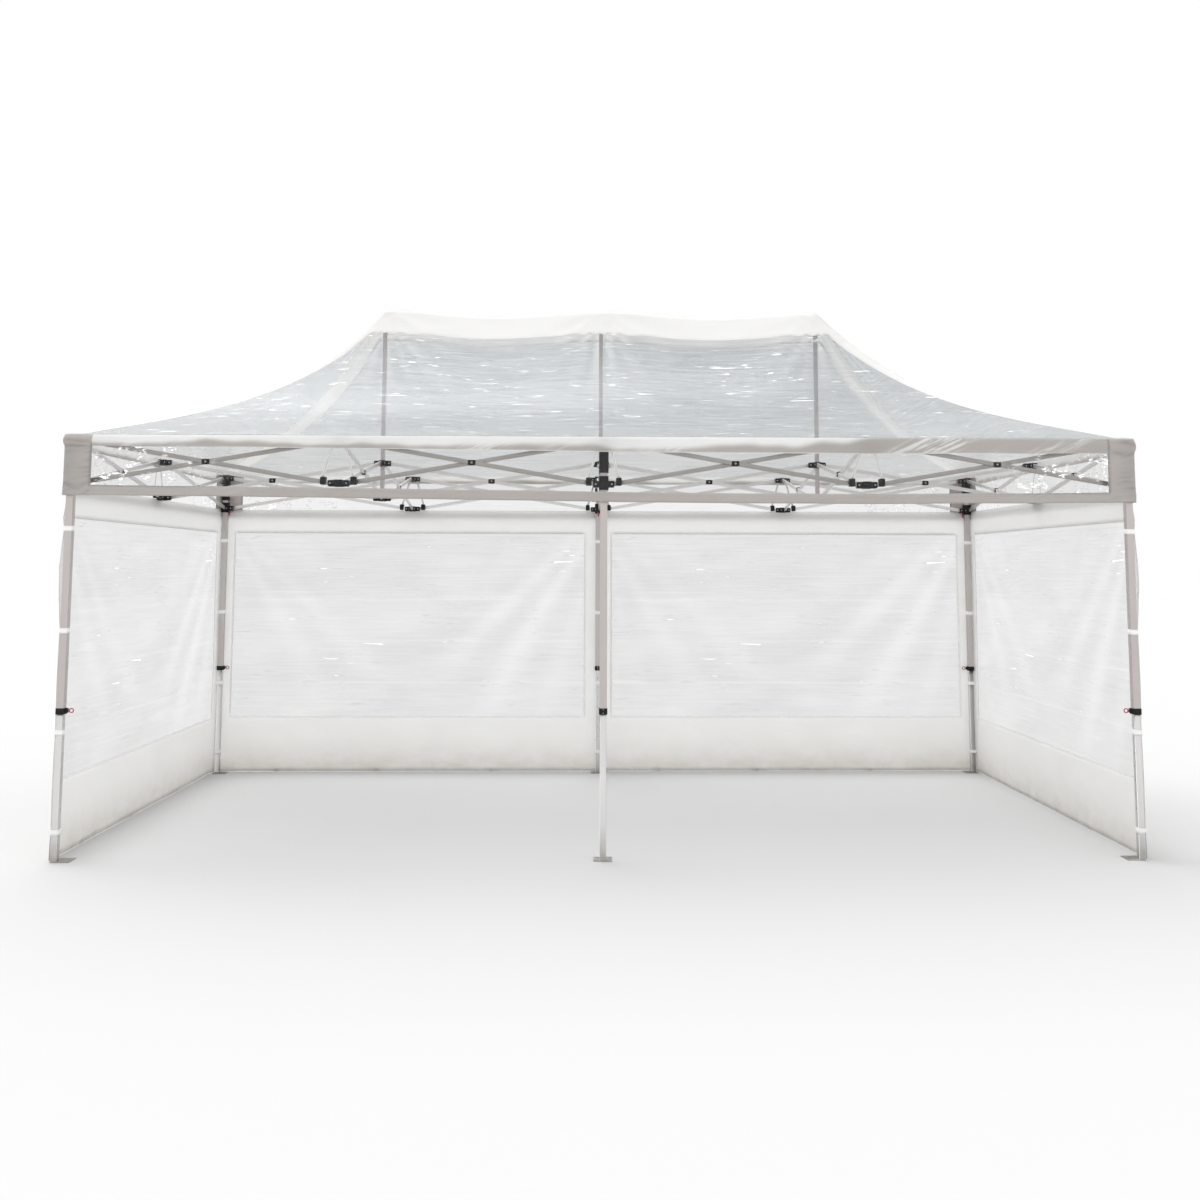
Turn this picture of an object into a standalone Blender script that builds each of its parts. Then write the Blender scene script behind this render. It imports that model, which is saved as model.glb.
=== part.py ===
"""Pop-up marquee tent, 3 m x 6 m: scissor frame on six telescoping legs, clear roof and walls.

Metres, +Z up. The origin is on the ground at the middle of the plan, +X runs along the 6 m side and the
open long side faces -Y. Every sub-part is one named object."""

import math

import bmesh
import bpy
from mathutils import Matrix

# Plan of the frame
BAY = 1.48
LEG_X = 2 * BAY
LEG_Y = BAY
GAP = 0.0003

# How shapes are made
OVERCUT = 0.010
ROOT_OVERLAP = 0.004
MERGE_DISTANCE = 0.0001
UPRIGHT_RISE = 1e-6

# Legs
OUTER_TUBE = 0.040
OUTER_WALL = 0.0015
INNER_TUBE = 0.0355
INNER_WALL = 0.0015
TUBE_CORNER = 0.003
OUTER_BOTTOM = 0.790
OUTER_TOP = 2.300
INNER_TOP = 1.250
FOOT_SIDE = 0.100
FOOT_THICKNESS = 0.004

# Black castings on the legs
CASTING = 0.053
CASTING_CORNER = 0.004
LOCK_SIDE = 0.055
LOCK_BOTTOM = 0.775
LOCK_TOP = 0.829
LOCK_BORE = 0.037
LOCK_BOSS_OUT = 0.036
LOCK_BOSS_SIDE = 0.024
ARM_REACH = 0.058
ARM_WIDTH = 0.040
ARM_HEIGHT = 0.036
SLIDER_BOTTOM = 2.022
SLIDER_TOP = 2.100
SLIDER_BORE = 0.0412
SLEEVE_BOTTOM = 2.118

# Release pins
PIN_HEIGHT = 0.806
PIN_RADIUS = 0.004
PIN_BORE_RADIUS = 0.0045
PIN_INNER_END = 0.0206
PIN_OUTER_END = 0.044
RING_RADIUS = 0.011
RING_THICKNESS = 0.003
ROD_SIDES = 12
RING_SIDES = 8
RING_STEPS = 20

# Scissor trusses
LOW_JOINT = 2.055
HIGH_JOINT = 2.292
BAR_HEIGHT = 0.025
BAR_THICKNESS = 0.012
BAR_OFFSET = 0.0068
PIVOT_BLOCK = (0.045, 0.027, 0.030)
JOINT_OVERLAP = 0.014
HUB_BODY = 0.054
HUB_HEIGHT = 0.040

# Peak poles
POLE_SIDE = 0.026
POLE_WALL = 0.002
POLE_CAP = 0.004

# Cover
CLOTH = 0.002
EAVE_HEIGHT = 2.318
ROOF_RISE = 1.032
RIDGE_SAG = 0.040
LINEAR_SHARE = 0.50
CURVE_POWER = 3.2
ROOF_ROWS = 12
LONG_SEGMENTS = 16
SHORT_SEGMENTS = 6
VALANCE_BOTTOM = 1.970
VALANCE_CLEARANCE = 0.003

# Walls
WALL_LINE_X = LEG_X + LOCK_SIDE / 2 + GAP
WALL_LINE_Y = LEG_Y + LOCK_SIDE / 2 + GAP
COVER_X = WALL_LINE_X + VALANCE_CLEARANCE + 2 * CLOTH
COVER_Y = WALL_LINE_Y + VALANCE_CLEARANCE + 2 * CLOTH
WALL_BOTTOM = 0.012
WALL_TOP = 2.045
WINDOW_BOTTOM = 0.425
WINDOW_TOP = 1.860
WINDOW_MARGIN = 0.110

LEGS = {
    "front_left": (-1, -1),
    "front_middle": (0, -1),
    "front_right": (1, -1),
    "back_left": (-1, 1),
    "back_middle": (0, 1),
    "back_right": (1, 1),
}


def clear_scene():
    """Removes whatever the scene holds at the start."""
    for found in list(bpy.data.objects):
        bpy.data.objects.remove(found, do_unlink=True)


def material(name, colour, roughness, metallic=0.0, alpha=1.0):
    """A Principled material with the part's own colour."""
    made = bpy.data.materials.new(name)
    made.use_nodes = True
    shader = made.node_tree.nodes["Principled BSDF"]
    shader.inputs["Base Color"].default_value = (*colour, 1.0)
    shader.inputs["Roughness"].default_value = roughness
    shader.inputs["Metallic"].default_value = metallic
    shader.inputs["Alpha"].default_value = alpha
    made.diffuse_color = (*colour, alpha)
    return made


def add_object(name, bm, finish):
    """Turns a bmesh into a named object in the scene."""
    mesh = bpy.data.meshes.new(name)
    bmesh.ops.recalc_face_normals(bm, faces=bm.faces)
    bm.to_mesh(mesh)
    bm.free()
    mesh.materials.append(finish)
    made = bpy.data.objects.new(name, mesh)
    bpy.context.scene.collection.objects.link(made)
    return made


def add_box(bm, low, high):
    """Adds a box between two corners."""
    size = [b - a for a, b in zip(low, high)]
    centre = [(a + b) / 2 for a, b in zip(low, high)]
    made = bmesh.ops.create_cube(bm, size=1.0)
    bmesh.ops.scale(bm, vec=size, verts=made["verts"])
    bmesh.ops.translate(bm, vec=centre, verts=made["verts"])
    return made["verts"]


def add_post(bm, side, bottom, top, at=(0.0, 0.0)):
    """Adds an upright square block centred on a point of the plan."""
    half = side / 2
    return add_box(bm, (at[0] - half, at[1] - half, bottom), (at[0] + half, at[1] + half, top))


def bevelled_post(side, bottom, top, corner, at):
    """A square post with chamfered upright corners."""
    bm = bmesh.new()
    add_post(bm, side, bottom, top, at)
    upright = [edge for edge in bm.edges if abs(edge.verts[0].co.z - edge.verts[1].co.z) > UPRIGHT_RISE]
    bmesh.ops.bevel(bm, geom=upright, offset=corner, segments=2, profile=0.5, affect="EDGES")
    return bm


def guide(name, bm):
    """A helper shape that a Boolean reads and no view shows."""
    made = add_object(name, bm, GUIDE)
    made.hide_render = True
    made.display_type = "WIRE"
    return made


def boolean(target, helper, operation):
    """Joins a helper to the target or cuts it out."""
    modifier = target.modifiers.new(operation.title(), "BOOLEAN")
    modifier.operation = operation
    modifier.solver = "EXACT"
    modifier.object = helper
    return modifier


def join_overlaps(target, bm):
    """Fuses the overlapping shapes of the target with each other and with one more shape."""
    helper = guide(target.name + "_joined", bm)
    modifier = boolean(target, helper, "UNION")
    modifier.use_self = True


def cut(target, bm):
    """Cuts a shape out of the target."""
    boolean(target, guide(target.name + "_cutter_" + str(len(target.modifiers)), bm), "DIFFERENCE")


def leg_point(sides):
    """The plan position of a leg from its side signs."""
    return sides[0] * LEG_X, sides[1] * LEG_Y


def inward_directions(sides):
    """Directions of the trusses that leave a leg."""
    across = (0, -sides[1])
    if sides[0] == 0:
        return [(-1, 0), (1, 0), across]
    return [(-sides[0], 0), across]


def pin_direction(sides):
    """The release pin points along the inner face of a corner leg, or into the tent on a middle leg."""
    return (0, -sides[1]) if sides[0] == 0 else (-sides[0], 0)


def add_arm(bm, at, direction, reach, height, start):
    """Adds a casting's arm, from inside its body out to its end."""
    half = ARM_WIDTH / 2
    ends = [(at[i] + direction[i] * start, at[i] + direction[i] * reach) for i in (0, 1)]
    low = [min(pair) - (half if direction[i] == 0 else 0) for i, pair in enumerate(ends)]
    high = [max(pair) + (half if direction[i] == 0 else 0) for i, pair in enumerate(ends)]
    add_box(bm, (*low, height - ARM_HEIGHT / 2), (*high, height + ARM_HEIGHT / 2))


def build_outer_leg(name, at):
    """The upper tube of a leg, open at both ends."""
    shape = bevelled_post(OUTER_TUBE, OUTER_BOTTOM, OUTER_TOP, TUBE_CORNER, at)
    outer = add_object(name + "_outer_leg", shape, ALUMINIUM)
    bore = bmesh.new()
    add_post(bore, OUTER_TUBE - 2 * OUTER_WALL, OUTER_BOTTOM - OVERCUT, OUTER_TOP + OVERCUT, at)
    cut(outer, bore)


def foot_span(centre, side):
    """Where the foot plate starts and ends along one axis: it reaches inwards from an outer leg face."""
    if side == 0:
        return centre - FOOT_SIDE / 2, centre + FOOT_SIDE / 2
    face = centre + side * INNER_TUBE / 2
    return min(face, face - side * FOOT_SIDE), max(face, face - side * FOOT_SIDE)


def build_inner_leg(name, sides, at):
    """The lower tube of a leg with its foot plate, open at the top."""
    shape = bevelled_post(INNER_TUBE, 0.0, INNER_TOP, TUBE_CORNER, at)
    inner = add_object(name + "_inner_leg", shape, ALUMINIUM)
    spans = [foot_span(at[axis], sides[axis]) for axis in (0, 1)]
    plate = bmesh.new()
    add_box(plate, (spans[0][0], spans[1][0], 0.0), (spans[0][1], spans[1][1], FOOT_THICKNESS))
    boolean(inner, guide(name + "_foot_plate", plate), "UNION")
    bore = bmesh.new()
    add_post(bore, INNER_TUBE - 2 * INNER_WALL, FOOT_THICKNESS, INNER_TOP + OVERCUT, at)
    cut(inner, bore)


def build_lock(name, at, turn):
    """The collar at the outer tube's lower end, with the boss that its release pin slides in."""
    shape = bevelled_post(LOCK_SIDE, LOCK_BOTTOM, LOCK_TOP, CASTING_CORNER, at)
    lock = add_object(name + "_leg_lock", shape, BLACK)
    half = LOCK_BOSS_SIDE / 2
    boss = bmesh.new()
    root = LOCK_SIDE / 2 - ROOT_OVERLAP
    add_box(boss, (root, -half, PIN_HEIGHT - half), (LOCK_BOSS_OUT, half, PIN_HEIGHT + half))
    place(boss, at, turn)
    boolean(lock, guide(name + "_lock_boss", boss), "UNION")
    outer_bore = bmesh.new()
    add_post(outer_bore, OUTER_TUBE + 2 * GAP, OUTER_BOTTOM - GAP, LOCK_TOP + OVERCUT, at)
    cut(lock, outer_bore)
    inner_bore = bmesh.new()
    add_post(inner_bore, LOCK_BORE, LOCK_BOTTOM - OVERCUT, OUTER_BOTTOM, at)
    cut(lock, inner_bore)
    pin_bore = bmesh.new()
    add_rod(pin_bore, PIN_BORE_RADIUS, OUTER_TUBE / 2, LOCK_BOSS_OUT + OVERCUT)
    place(pin_bore, at, turn)
    cut(lock, pin_bore)


def build_release_pin(name, at, turn):
    """The pin that holds the inner tube, with its pull ring."""
    pin = bmesh.new()
    add_rod(pin, PIN_RADIUS, PIN_INNER_END, PIN_OUTER_END)
    place(pin, at, turn)
    pull = bmesh.new()
    add_ring(pull, RING_RADIUS, RING_THICKNESS, PIN_OUTER_END + RING_RADIUS)
    place(pull, at, turn)
    boolean(add_object(name + "_release_pin", pin, RED), guide(name + "_pin_pull", pull), "UNION")


def build_casting(name, sides, span, joint, bore_side, bore_top):
    """A black casting round the outer tube, with an arm towards each truss."""
    at = leg_point(sides)
    casting = add_object(name, bevelled_post(CASTING, span[0], span[1], CASTING_CORNER, at), BLACK)
    for direction in inward_directions(sides):
        arm = bmesh.new()
        add_arm(arm, at, direction, ARM_REACH, joint, CASTING / 2 - ROOT_OVERLAP)
        boolean(casting, guide(name + "_arm", arm), "UNION")
    bore = bmesh.new()
    add_post(bore, bore_side, span[0] - OVERCUT, bore_top, at)
    cut(casting, bore)


def build_leg(name, sides):
    """One leg: outer tube, inner leg with foot plate, lock, release pin, top bracket and slider."""
    at = leg_point(sides)
    direction = pin_direction(sides)
    turn = math.atan2(direction[1], direction[0])
    build_outer_leg(name, at)
    build_inner_leg(name, sides, at)
    build_lock(name, at, turn)
    build_release_pin(name, at, turn)
    sleeve = (SLEEVE_BOTTOM, EAVE_HEIGHT - GAP)
    build_casting(name + "_top_bracket", sides, sleeve, HIGH_JOINT, OUTER_TUBE + 2 * GAP, OUTER_TOP + GAP)
    body = (SLIDER_BOTTOM, SLIDER_TOP)
    build_casting(name + "_slider", sides, body, LOW_JOINT, SLIDER_BORE, SLIDER_TOP + OVERCUT)


def place(bm, at, turn):
    """Turns a shape made along +X about the upright axis and moves it to a leg."""
    bmesh.ops.rotate(bm, cent=(0, 0, 0), matrix=Matrix.Rotation(turn, 3, "Z"), verts=bm.verts)
    bmesh.ops.translate(bm, vec=(at[0], at[1], 0), verts=bm.verts)


def add_rod(bm, radius, start, end):
    """Adds a round rod along +X at the height of the release pin."""
    depth = end - start
    made = bmesh.ops.create_cone(
        bm, cap_ends=True, segments=ROD_SIDES, radius1=radius, radius2=radius, depth=depth
    )
    bmesh.ops.rotate(bm, cent=(0, 0, 0), matrix=Matrix.Rotation(math.pi / 2, 3, "Y"), verts=made["verts"])
    bmesh.ops.translate(bm, vec=((start + end) / 2, 0, PIN_HEIGHT), verts=made["verts"])


def add_ring(bm, radius, thickness, distance):
    """Adds an upright pull ring in the plane of its pin, centred at a distance out from the leg."""
    section = bmesh.ops.create_circle(bm, cap_ends=False, segments=RING_SIDES, radius=thickness)
    upright = Matrix.Rotation(math.pi / 2, 3, "X")
    bmesh.ops.rotate(bm, cent=(0, 0, 0), matrix=upright, verts=section["verts"])
    bmesh.ops.translate(bm, vec=(radius, 0, 0), verts=section["verts"])
    bmesh.ops.spin(
        bm,
        geom=section["verts"] + bm.edges[:],
        cent=(0, 0, 0),
        axis=(0, 0, 1),
        angle=2 * math.pi,
        steps=RING_STEPS,
        use_merge=True,
    )
    bmesh.ops.rotate(bm, cent=(0, 0, 0), matrix=upright, verts=bm.verts)
    bmesh.ops.translate(bm, vec=(distance, 0, PIN_HEIGHT), verts=bm.verts)


def add_bar(bm, start, end, side):
    """Adds one scissor bar between two (x, y, z) points, shifted sideways off the truss plane."""
    run = [b - a for a, b in zip(start, end)]
    flat = math.hypot(run[0], run[1])
    length = math.hypot(flat, run[2])
    made = bmesh.ops.create_cube(bm, size=1.0)
    verts = made["verts"]
    bmesh.ops.scale(bm, vec=(length, BAR_THICKNESS, BAR_HEIGHT), verts=verts)
    bmesh.ops.translate(bm, vec=(0, side * BAR_OFFSET, 0), verts=verts)
    pitch = Matrix.Rotation(-math.atan2(run[2], flat), 3, "Y")
    heading = Matrix.Rotation(math.atan2(run[1], run[0]), 3, "Z")
    bmesh.ops.rotate(bm, cent=(0, 0, 0), matrix=heading @ pitch, verts=verts)
    centre = [(a + b) / 2 for a, b in zip(start, end)]
    bmesh.ops.translate(bm, vec=centre, verts=verts)


def add_unit(bm, start, end, start_inset, end_inset):
    """Adds a scissor unit, two bars and their pivot block, between two joints of the plan."""
    run = (end[0] - start[0], end[1] - start[1])
    length = math.hypot(*run)
    along = (run[0] / length, run[1] / length)
    a = (start[0] + along[0] * start_inset, start[1] + along[1] * start_inset)
    b = (end[0] - along[0] * end_inset, end[1] - along[1] * end_inset)
    add_bar(bm, (*a, LOW_JOINT), (*b, HIGH_JOINT), 1)
    add_bar(bm, (*a, HIGH_JOINT), (*b, LOW_JOINT), -1)
    made = bmesh.ops.create_cube(bm, size=1.0)
    bmesh.ops.scale(bm, vec=PIVOT_BLOCK, verts=made["verts"])
    turn = Matrix.Rotation(math.atan2(run[1], run[0]), 3, "Z")
    bmesh.ops.rotate(bm, cent=(0, 0, 0), matrix=turn, verts=made["verts"])
    middle = ((a[0] + b[0]) / 2, (a[1] + b[1]) / 2, (LOW_JOINT + HIGH_JOINT) / 2)
    bmesh.ops.translate(bm, vec=middle, verts=made["verts"])


def add_joint_castings(bm, at, directions):
    """Adds the low and high castings of a free joint, each with arms along the given directions."""
    for height in (LOW_JOINT, HIGH_JOINT):
        add_post(bm, HUB_BODY, height - HUB_HEIGHT / 2, height + HUB_HEIGHT / 2, at)
        for direction in directions:
            add_arm(bm, at, direction, ARM_REACH, height, HUB_BODY / 2 - ROOT_OVERLAP)


ARM_INSET = ARM_REACH + GAP + BAR_HEIGHT / 2 * (HIGH_JOINT - LOW_JOINT) / BAY
CASTING_INSET = ARM_REACH - JOINT_OVERLAP


def build_truss(name, start, end, joint, inward):
    """A truss of two scissor units between two legs, with the castings of its middle joint."""
    bm = bmesh.new()
    add_unit(bm, start, joint, ARM_INSET, CASTING_INSET)
    add_unit(bm, joint, end, CASTING_INSET, ARM_INSET)
    truss = add_object(name, bm, ALUMINIUM)
    length = math.hypot(end[0] - start[0], end[1] - start[1])
    along = ((end[0] - start[0]) / length, (end[1] - start[1]) / length)
    castings = bmesh.new()
    add_joint_castings(castings, joint, [along, (-along[0], -along[1]), inward])
    join_overlaps(truss, castings)


def build_hub_truss(name, hub, ends, arms):
    """The scissor units that meet at a hub under the ridge, with the bore that its pole stands in."""
    bm = bmesh.new()
    for end in ends:
        add_unit(bm, hub, end, CASTING_INSET, ARM_INSET)
    truss = add_object(name, bm, ALUMINIUM)
    castings = bmesh.new()
    add_joint_castings(castings, hub, arms)
    join_overlaps(truss, castings)
    bore = bmesh.new()
    add_post(bore, POLE_SIDE + 2 * GAP, LOW_JOINT, HIGH_JOINT + HUB_HEIGHT / 2 + OVERCUT, hub)
    cut(truss, bore)


def roof_share(x, y):
    """How far a point of the plan lies from the eave to the ridge, 0 to 1."""
    across = (COVER_X - abs(x)) / (COVER_X - BAY)
    along = (COVER_Y - abs(y)) / COVER_Y
    return max(0.0, min(1.0, across, along))


def roof_height(x, y):
    """Height of the cover's outer face: concave hips, with a ridge that sags between the poles."""
    share = roof_share(x, y)
    rise = LINEAR_SHARE * share + (1 - LINEAR_SHARE) * share**CURVE_POWER
    sag = RIDGE_SAG * share * math.sin(math.pi * x / BAY) ** 2 if abs(x) < BAY else 0.0
    return EAVE_HEIGHT + CLOTH + ROOF_RISE * rise - sag


def roof_loop(share):
    """Plan points of one closed line round the roof at a share of the way up."""
    x = COVER_X - (COVER_X - BAY) * share
    y = COVER_Y * (1 - share)
    corners = ((-x, -y), (x, -y), (x, y), (-x, y))
    counts = (LONG_SEGMENTS, SHORT_SEGMENTS, LONG_SEGMENTS, SHORT_SEGMENTS)
    points = []
    for index, count in enumerate(counts):
        a, b = corners[index], corners[(index + 1) % 4]
        for i in range(count):
            points.append((a[0] + (b[0] - a[0]) * i / count, a[1] + (b[1] - a[1]) * i / count))
    return points


def build_roof():
    """The cover as one thin shell over hips and ridge."""
    bm = bmesh.new()
    loops = []
    for row in range(ROOF_ROWS + 1):
        points = roof_loop(row / ROOF_ROWS)
        loops.append([bm.verts.new((x, y, roof_height(x, y))) for x, y in points])
    for lower, upper in zip(loops, loops[1:]):
        for i in range(len(lower)):
            j = (i + 1) % len(lower)
            bm.faces.new((lower[i], lower[j], upper[j], upper[i]))
    bmesh.ops.remove_doubles(bm, verts=bm.verts, dist=MERGE_DISTANCE)
    roof = add_object("roof_cover", bm, CLEAR)
    if roof.data.polygons[0].normal.z < 0:
        roof.data.flip_normals()
    shell = roof.modifiers.new("Cloth", "SOLIDIFY")
    shell.thickness = CLOTH
    shell.offset = -1


def build_valance():
    """The upright band of cloth round the eaves."""
    band = bmesh.new()
    add_box(band, (-COVER_X, -COVER_Y, VALANCE_BOTTOM), (COVER_X, COVER_Y, EAVE_HEIGHT - GAP))
    valance = add_object("valance", band, FABRIC)
    inner_x = COVER_X - CLOTH
    inner_y = COVER_Y - CLOTH
    hole = bmesh.new()
    add_box(hole, (-inner_x, -inner_y, VALANCE_BOTTOM - OVERCUT), (inner_x, inner_y, EAVE_HEIGHT + OVERCUT))
    cut(valance, hole)


def build_wall(name, low, high, axis):
    """A wall of cloth with its window cut out, and the clear film in it. axis is the wall's run."""
    bm = bmesh.new()
    add_box(bm, low, high)
    wall = add_object(name, bm, FABRIC)
    window_low, window_high = list(low), list(high)
    window_low[axis] += WINDOW_MARGIN
    window_high[axis] -= WINDOW_MARGIN
    window_low[2], window_high[2] = WINDOW_BOTTOM, WINDOW_TOP
    through = 1 - axis
    hole_low, hole_high = list(window_low), list(window_high)
    hole_low[through] -= OVERCUT
    hole_high[through] += OVERCUT
    hole = bmesh.new()
    add_box(hole, hole_low, hole_high)
    cut(wall, hole)
    film_low, film_high = list(window_low), list(window_high)
    for index in (axis, 2):
        film_low[index] += GAP
        film_high[index] -= GAP
    film = bmesh.new()
    add_box(film, film_low, film_high)
    add_object(name.replace("wall", "window"), film, CLEAR)


def build_pole(name, x):
    """A square tube from the low hub through the high hub to the underside of the ridge, closed on top."""
    row_depth = COVER_Y / ROOF_ROWS
    slope = (roof_height(x, 0.0) - roof_height(x, row_depth)) / row_depth
    top = roof_height(x, 0.0) - slope * POLE_SIDE / 2 - CLOTH * math.hypot(1.0, slope) - 2 * GAP
    bm = bmesh.new()
    add_post(bm, POLE_SIDE, LOW_JOINT + GAP, top, (x, 0.0))
    pole = add_object(name, bm, ALUMINIUM)
    bore = bmesh.new()
    add_post(bore, POLE_SIDE - 2 * POLE_WALL, LOW_JOINT - OVERCUT, top - POLE_CAP, (x, 0.0))
    cut(pole, bore)


clear_scene()

ALUMINIUM = material("aluminium", (0.55, 0.54, 0.52), 0.42, metallic=1.0)
BLACK = material("black_plastic", (0.02, 0.019, 0.02), 0.5)
RED = material("red_plastic", (0.35, 0.03, 0.05), 0.4)
FABRIC = material("white_fabric", (0.78, 0.77, 0.74), 0.8)
CLEAR = material("clear_film", (0.75, 0.79, 0.80), 0.15, alpha=0.35)
GUIDE = material("guide", (1.0, 0.5, 0.0), 0.5)

for leg_name, leg_sides in LEGS.items():
    build_leg(leg_name, leg_sides)

for row, y in (("front", -LEG_Y), ("back", LEG_Y)):
    inward = (0, 1) if y < 0 else (0, -1)
    build_truss(row + "_left_truss", (-LEG_X, y), (0, y), (-BAY, y), inward)
    build_truss(row + "_right_truss", (0, y), (LEG_X, y), (BAY, y), inward)
build_truss("left_end_truss", (-LEG_X, -LEG_Y), (-LEG_X, LEG_Y), (-LEG_X, 0), (1, 0))
build_truss("right_end_truss", (LEG_X, -LEG_Y), (LEG_X, LEG_Y), (LEG_X, 0), (-1, 0))

ALL_ARMS = [(1, 0), (-1, 0), (0, 1), (0, -1)]
build_hub_truss("left_hub_truss", (-BAY, 0), [(-BAY, -LEG_Y), (-BAY, LEG_Y), (-LEG_X, 0), (0, 0)], ALL_ARMS)
build_hub_truss("middle_hub_truss", (0, 0), [(0, -LEG_Y), (0, LEG_Y)], ALL_ARMS)
build_hub_truss("right_hub_truss", (BAY, 0), [(BAY, -LEG_Y), (BAY, LEG_Y), (LEG_X, 0), (0, 0)], ALL_ARMS)

build_pole("left_peak_pole", -BAY)
build_pole("middle_peak_pole", 0.0)
build_pole("right_peak_pole", BAY)

build_roof()
build_valance()

side_run = (-WALL_LINE_Y, WALL_LINE_Y - GAP)
build_wall(
    "left_wall",
    (-WALL_LINE_X - CLOTH, side_run[0], WALL_BOTTOM),
    (-WALL_LINE_X, side_run[1], WALL_TOP),
    1,
)
build_wall(
    "right_wall",
    (WALL_LINE_X, side_run[0], WALL_BOTTOM),
    (WALL_LINE_X + CLOTH, side_run[1], WALL_TOP),
    1,
)
build_wall(
    "back_left_wall",
    (-WALL_LINE_X - CLOTH, WALL_LINE_Y, WALL_BOTTOM),
    (-GAP / 2, WALL_LINE_Y + CLOTH, WALL_TOP),
    0,
)
build_wall(
    "back_right_wall",
    (GAP / 2, WALL_LINE_Y, WALL_BOTTOM),
    (WALL_LINE_X + CLOTH, WALL_LINE_Y + CLOTH, WALL_TOP),
    0,
)
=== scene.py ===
"""Looks of the pop-up marquee tent: clear cover and walls, white bands, satin frame and black castings.

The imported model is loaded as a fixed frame. Each sub-assembly is a class that builds its meshes at the places
that the frame gives, dresses them with its finishes and names the body that they ride on."""

from __future__ import annotations

import logging
import math
from dataclasses import dataclass, field
from enum import Enum
from typing import Callable, Iterable, Sequence

import bmesh
import bpy
from mathutils import Matrix, Vector, noise

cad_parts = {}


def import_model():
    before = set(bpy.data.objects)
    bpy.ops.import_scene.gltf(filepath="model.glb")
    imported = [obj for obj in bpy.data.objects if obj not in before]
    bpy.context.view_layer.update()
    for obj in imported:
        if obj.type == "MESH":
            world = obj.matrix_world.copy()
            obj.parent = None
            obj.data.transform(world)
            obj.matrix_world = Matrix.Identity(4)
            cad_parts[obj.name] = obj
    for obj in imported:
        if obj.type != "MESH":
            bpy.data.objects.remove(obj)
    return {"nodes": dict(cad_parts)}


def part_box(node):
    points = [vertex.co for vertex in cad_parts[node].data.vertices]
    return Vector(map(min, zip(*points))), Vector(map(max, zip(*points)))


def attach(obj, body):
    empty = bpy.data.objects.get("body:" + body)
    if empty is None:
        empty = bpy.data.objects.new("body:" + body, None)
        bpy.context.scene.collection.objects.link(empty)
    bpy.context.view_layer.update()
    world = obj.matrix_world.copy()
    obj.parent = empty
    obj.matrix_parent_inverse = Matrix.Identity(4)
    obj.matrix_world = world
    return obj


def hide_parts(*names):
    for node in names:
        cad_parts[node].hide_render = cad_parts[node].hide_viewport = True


LOG = logging.getLogger("marquee")
Point = tuple[float, float, float]
ROOT = "root"
LEG_SIDES = {
    "front_left": (-1, -1),
    "front_middle": (0, -1),
    "front_right": (1, -1),
    "back_left": (-1, 1),
    "back_middle": (0, 1),
    "back_right": (1, 1),
}


class Finish(Enum):
    """The finishes of the tent, by the name of their material."""

    TUBE = "satin_tube"
    BRIGHT_TUBE = "bright_tube"
    # One satin bar metal in two copies: the darker one carries painted shade, the lighter one painted light.
    BAR = "satin_bar"
    BRIGHT_BAR = "bright_bar"
    STEEL = "zinc_steel"
    NYLON = "black_nylon"
    PULL = "red_pull"
    CLOTH = "white_cloth"
    # The hem band is the white cloth darkened with painted shade.
    BAND = "hem_band"
    FILM = "clear_film"
    STRIP_FILM = "valance_film"
    ROOF_FILM = "roof_film"
    WEBBING = "white_webbing"
    LOOP = "dark_loop"


class Side(Enum):
    """The four slopes of the roof and sides of the valance."""

    FRONT = (0, -1)
    RIGHT = (1, 0)
    BACK = (0, 1)
    LEFT = (-1, 0)


def smooth(low: float, high: float, value: float) -> float:
    """Eases from 0 at low to 1 at high."""
    share = max(0.0, min(1.0, (value - low) / (high - low)))
    return share * share * (3 - 2 * share)


def ripple(x: float, y: float, seed: float) -> float:
    """Soft noise between about -1 and 1 at a point of a sheet."""
    return noise.noise(Vector((x, y, seed)))


def remapped(value: float, marks: Sequence[tuple[float, float]]) -> float:
    """Moves a value as the marks, pairs of an old and a new value, say; between two marks in proportion."""
    for (start, new_start), (end, new_end) in zip(marks, marks[1:]):
        if value <= end or (end, new_end) == marks[-1]:
            return new_start + (new_end - new_start) * (value - start) / (end - start)
    return value


def stations(*marks: tuple[float, int]) -> list[float]:
    """Places along a line, with each stretch between marks cut into its own number of parts.

    Args:
        marks: Pairs of a place and the number of parts of the stretch that starts there.

    Returns:
        The places, from the first mark to the last.
    """
    places: list[float] = []
    for (start, parts), (end, _) in zip(marks, marks[1:]):
        places += [start + (end - start) * i / parts for i in range(parts)]
    return places + [marks[-1][0]]


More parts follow.
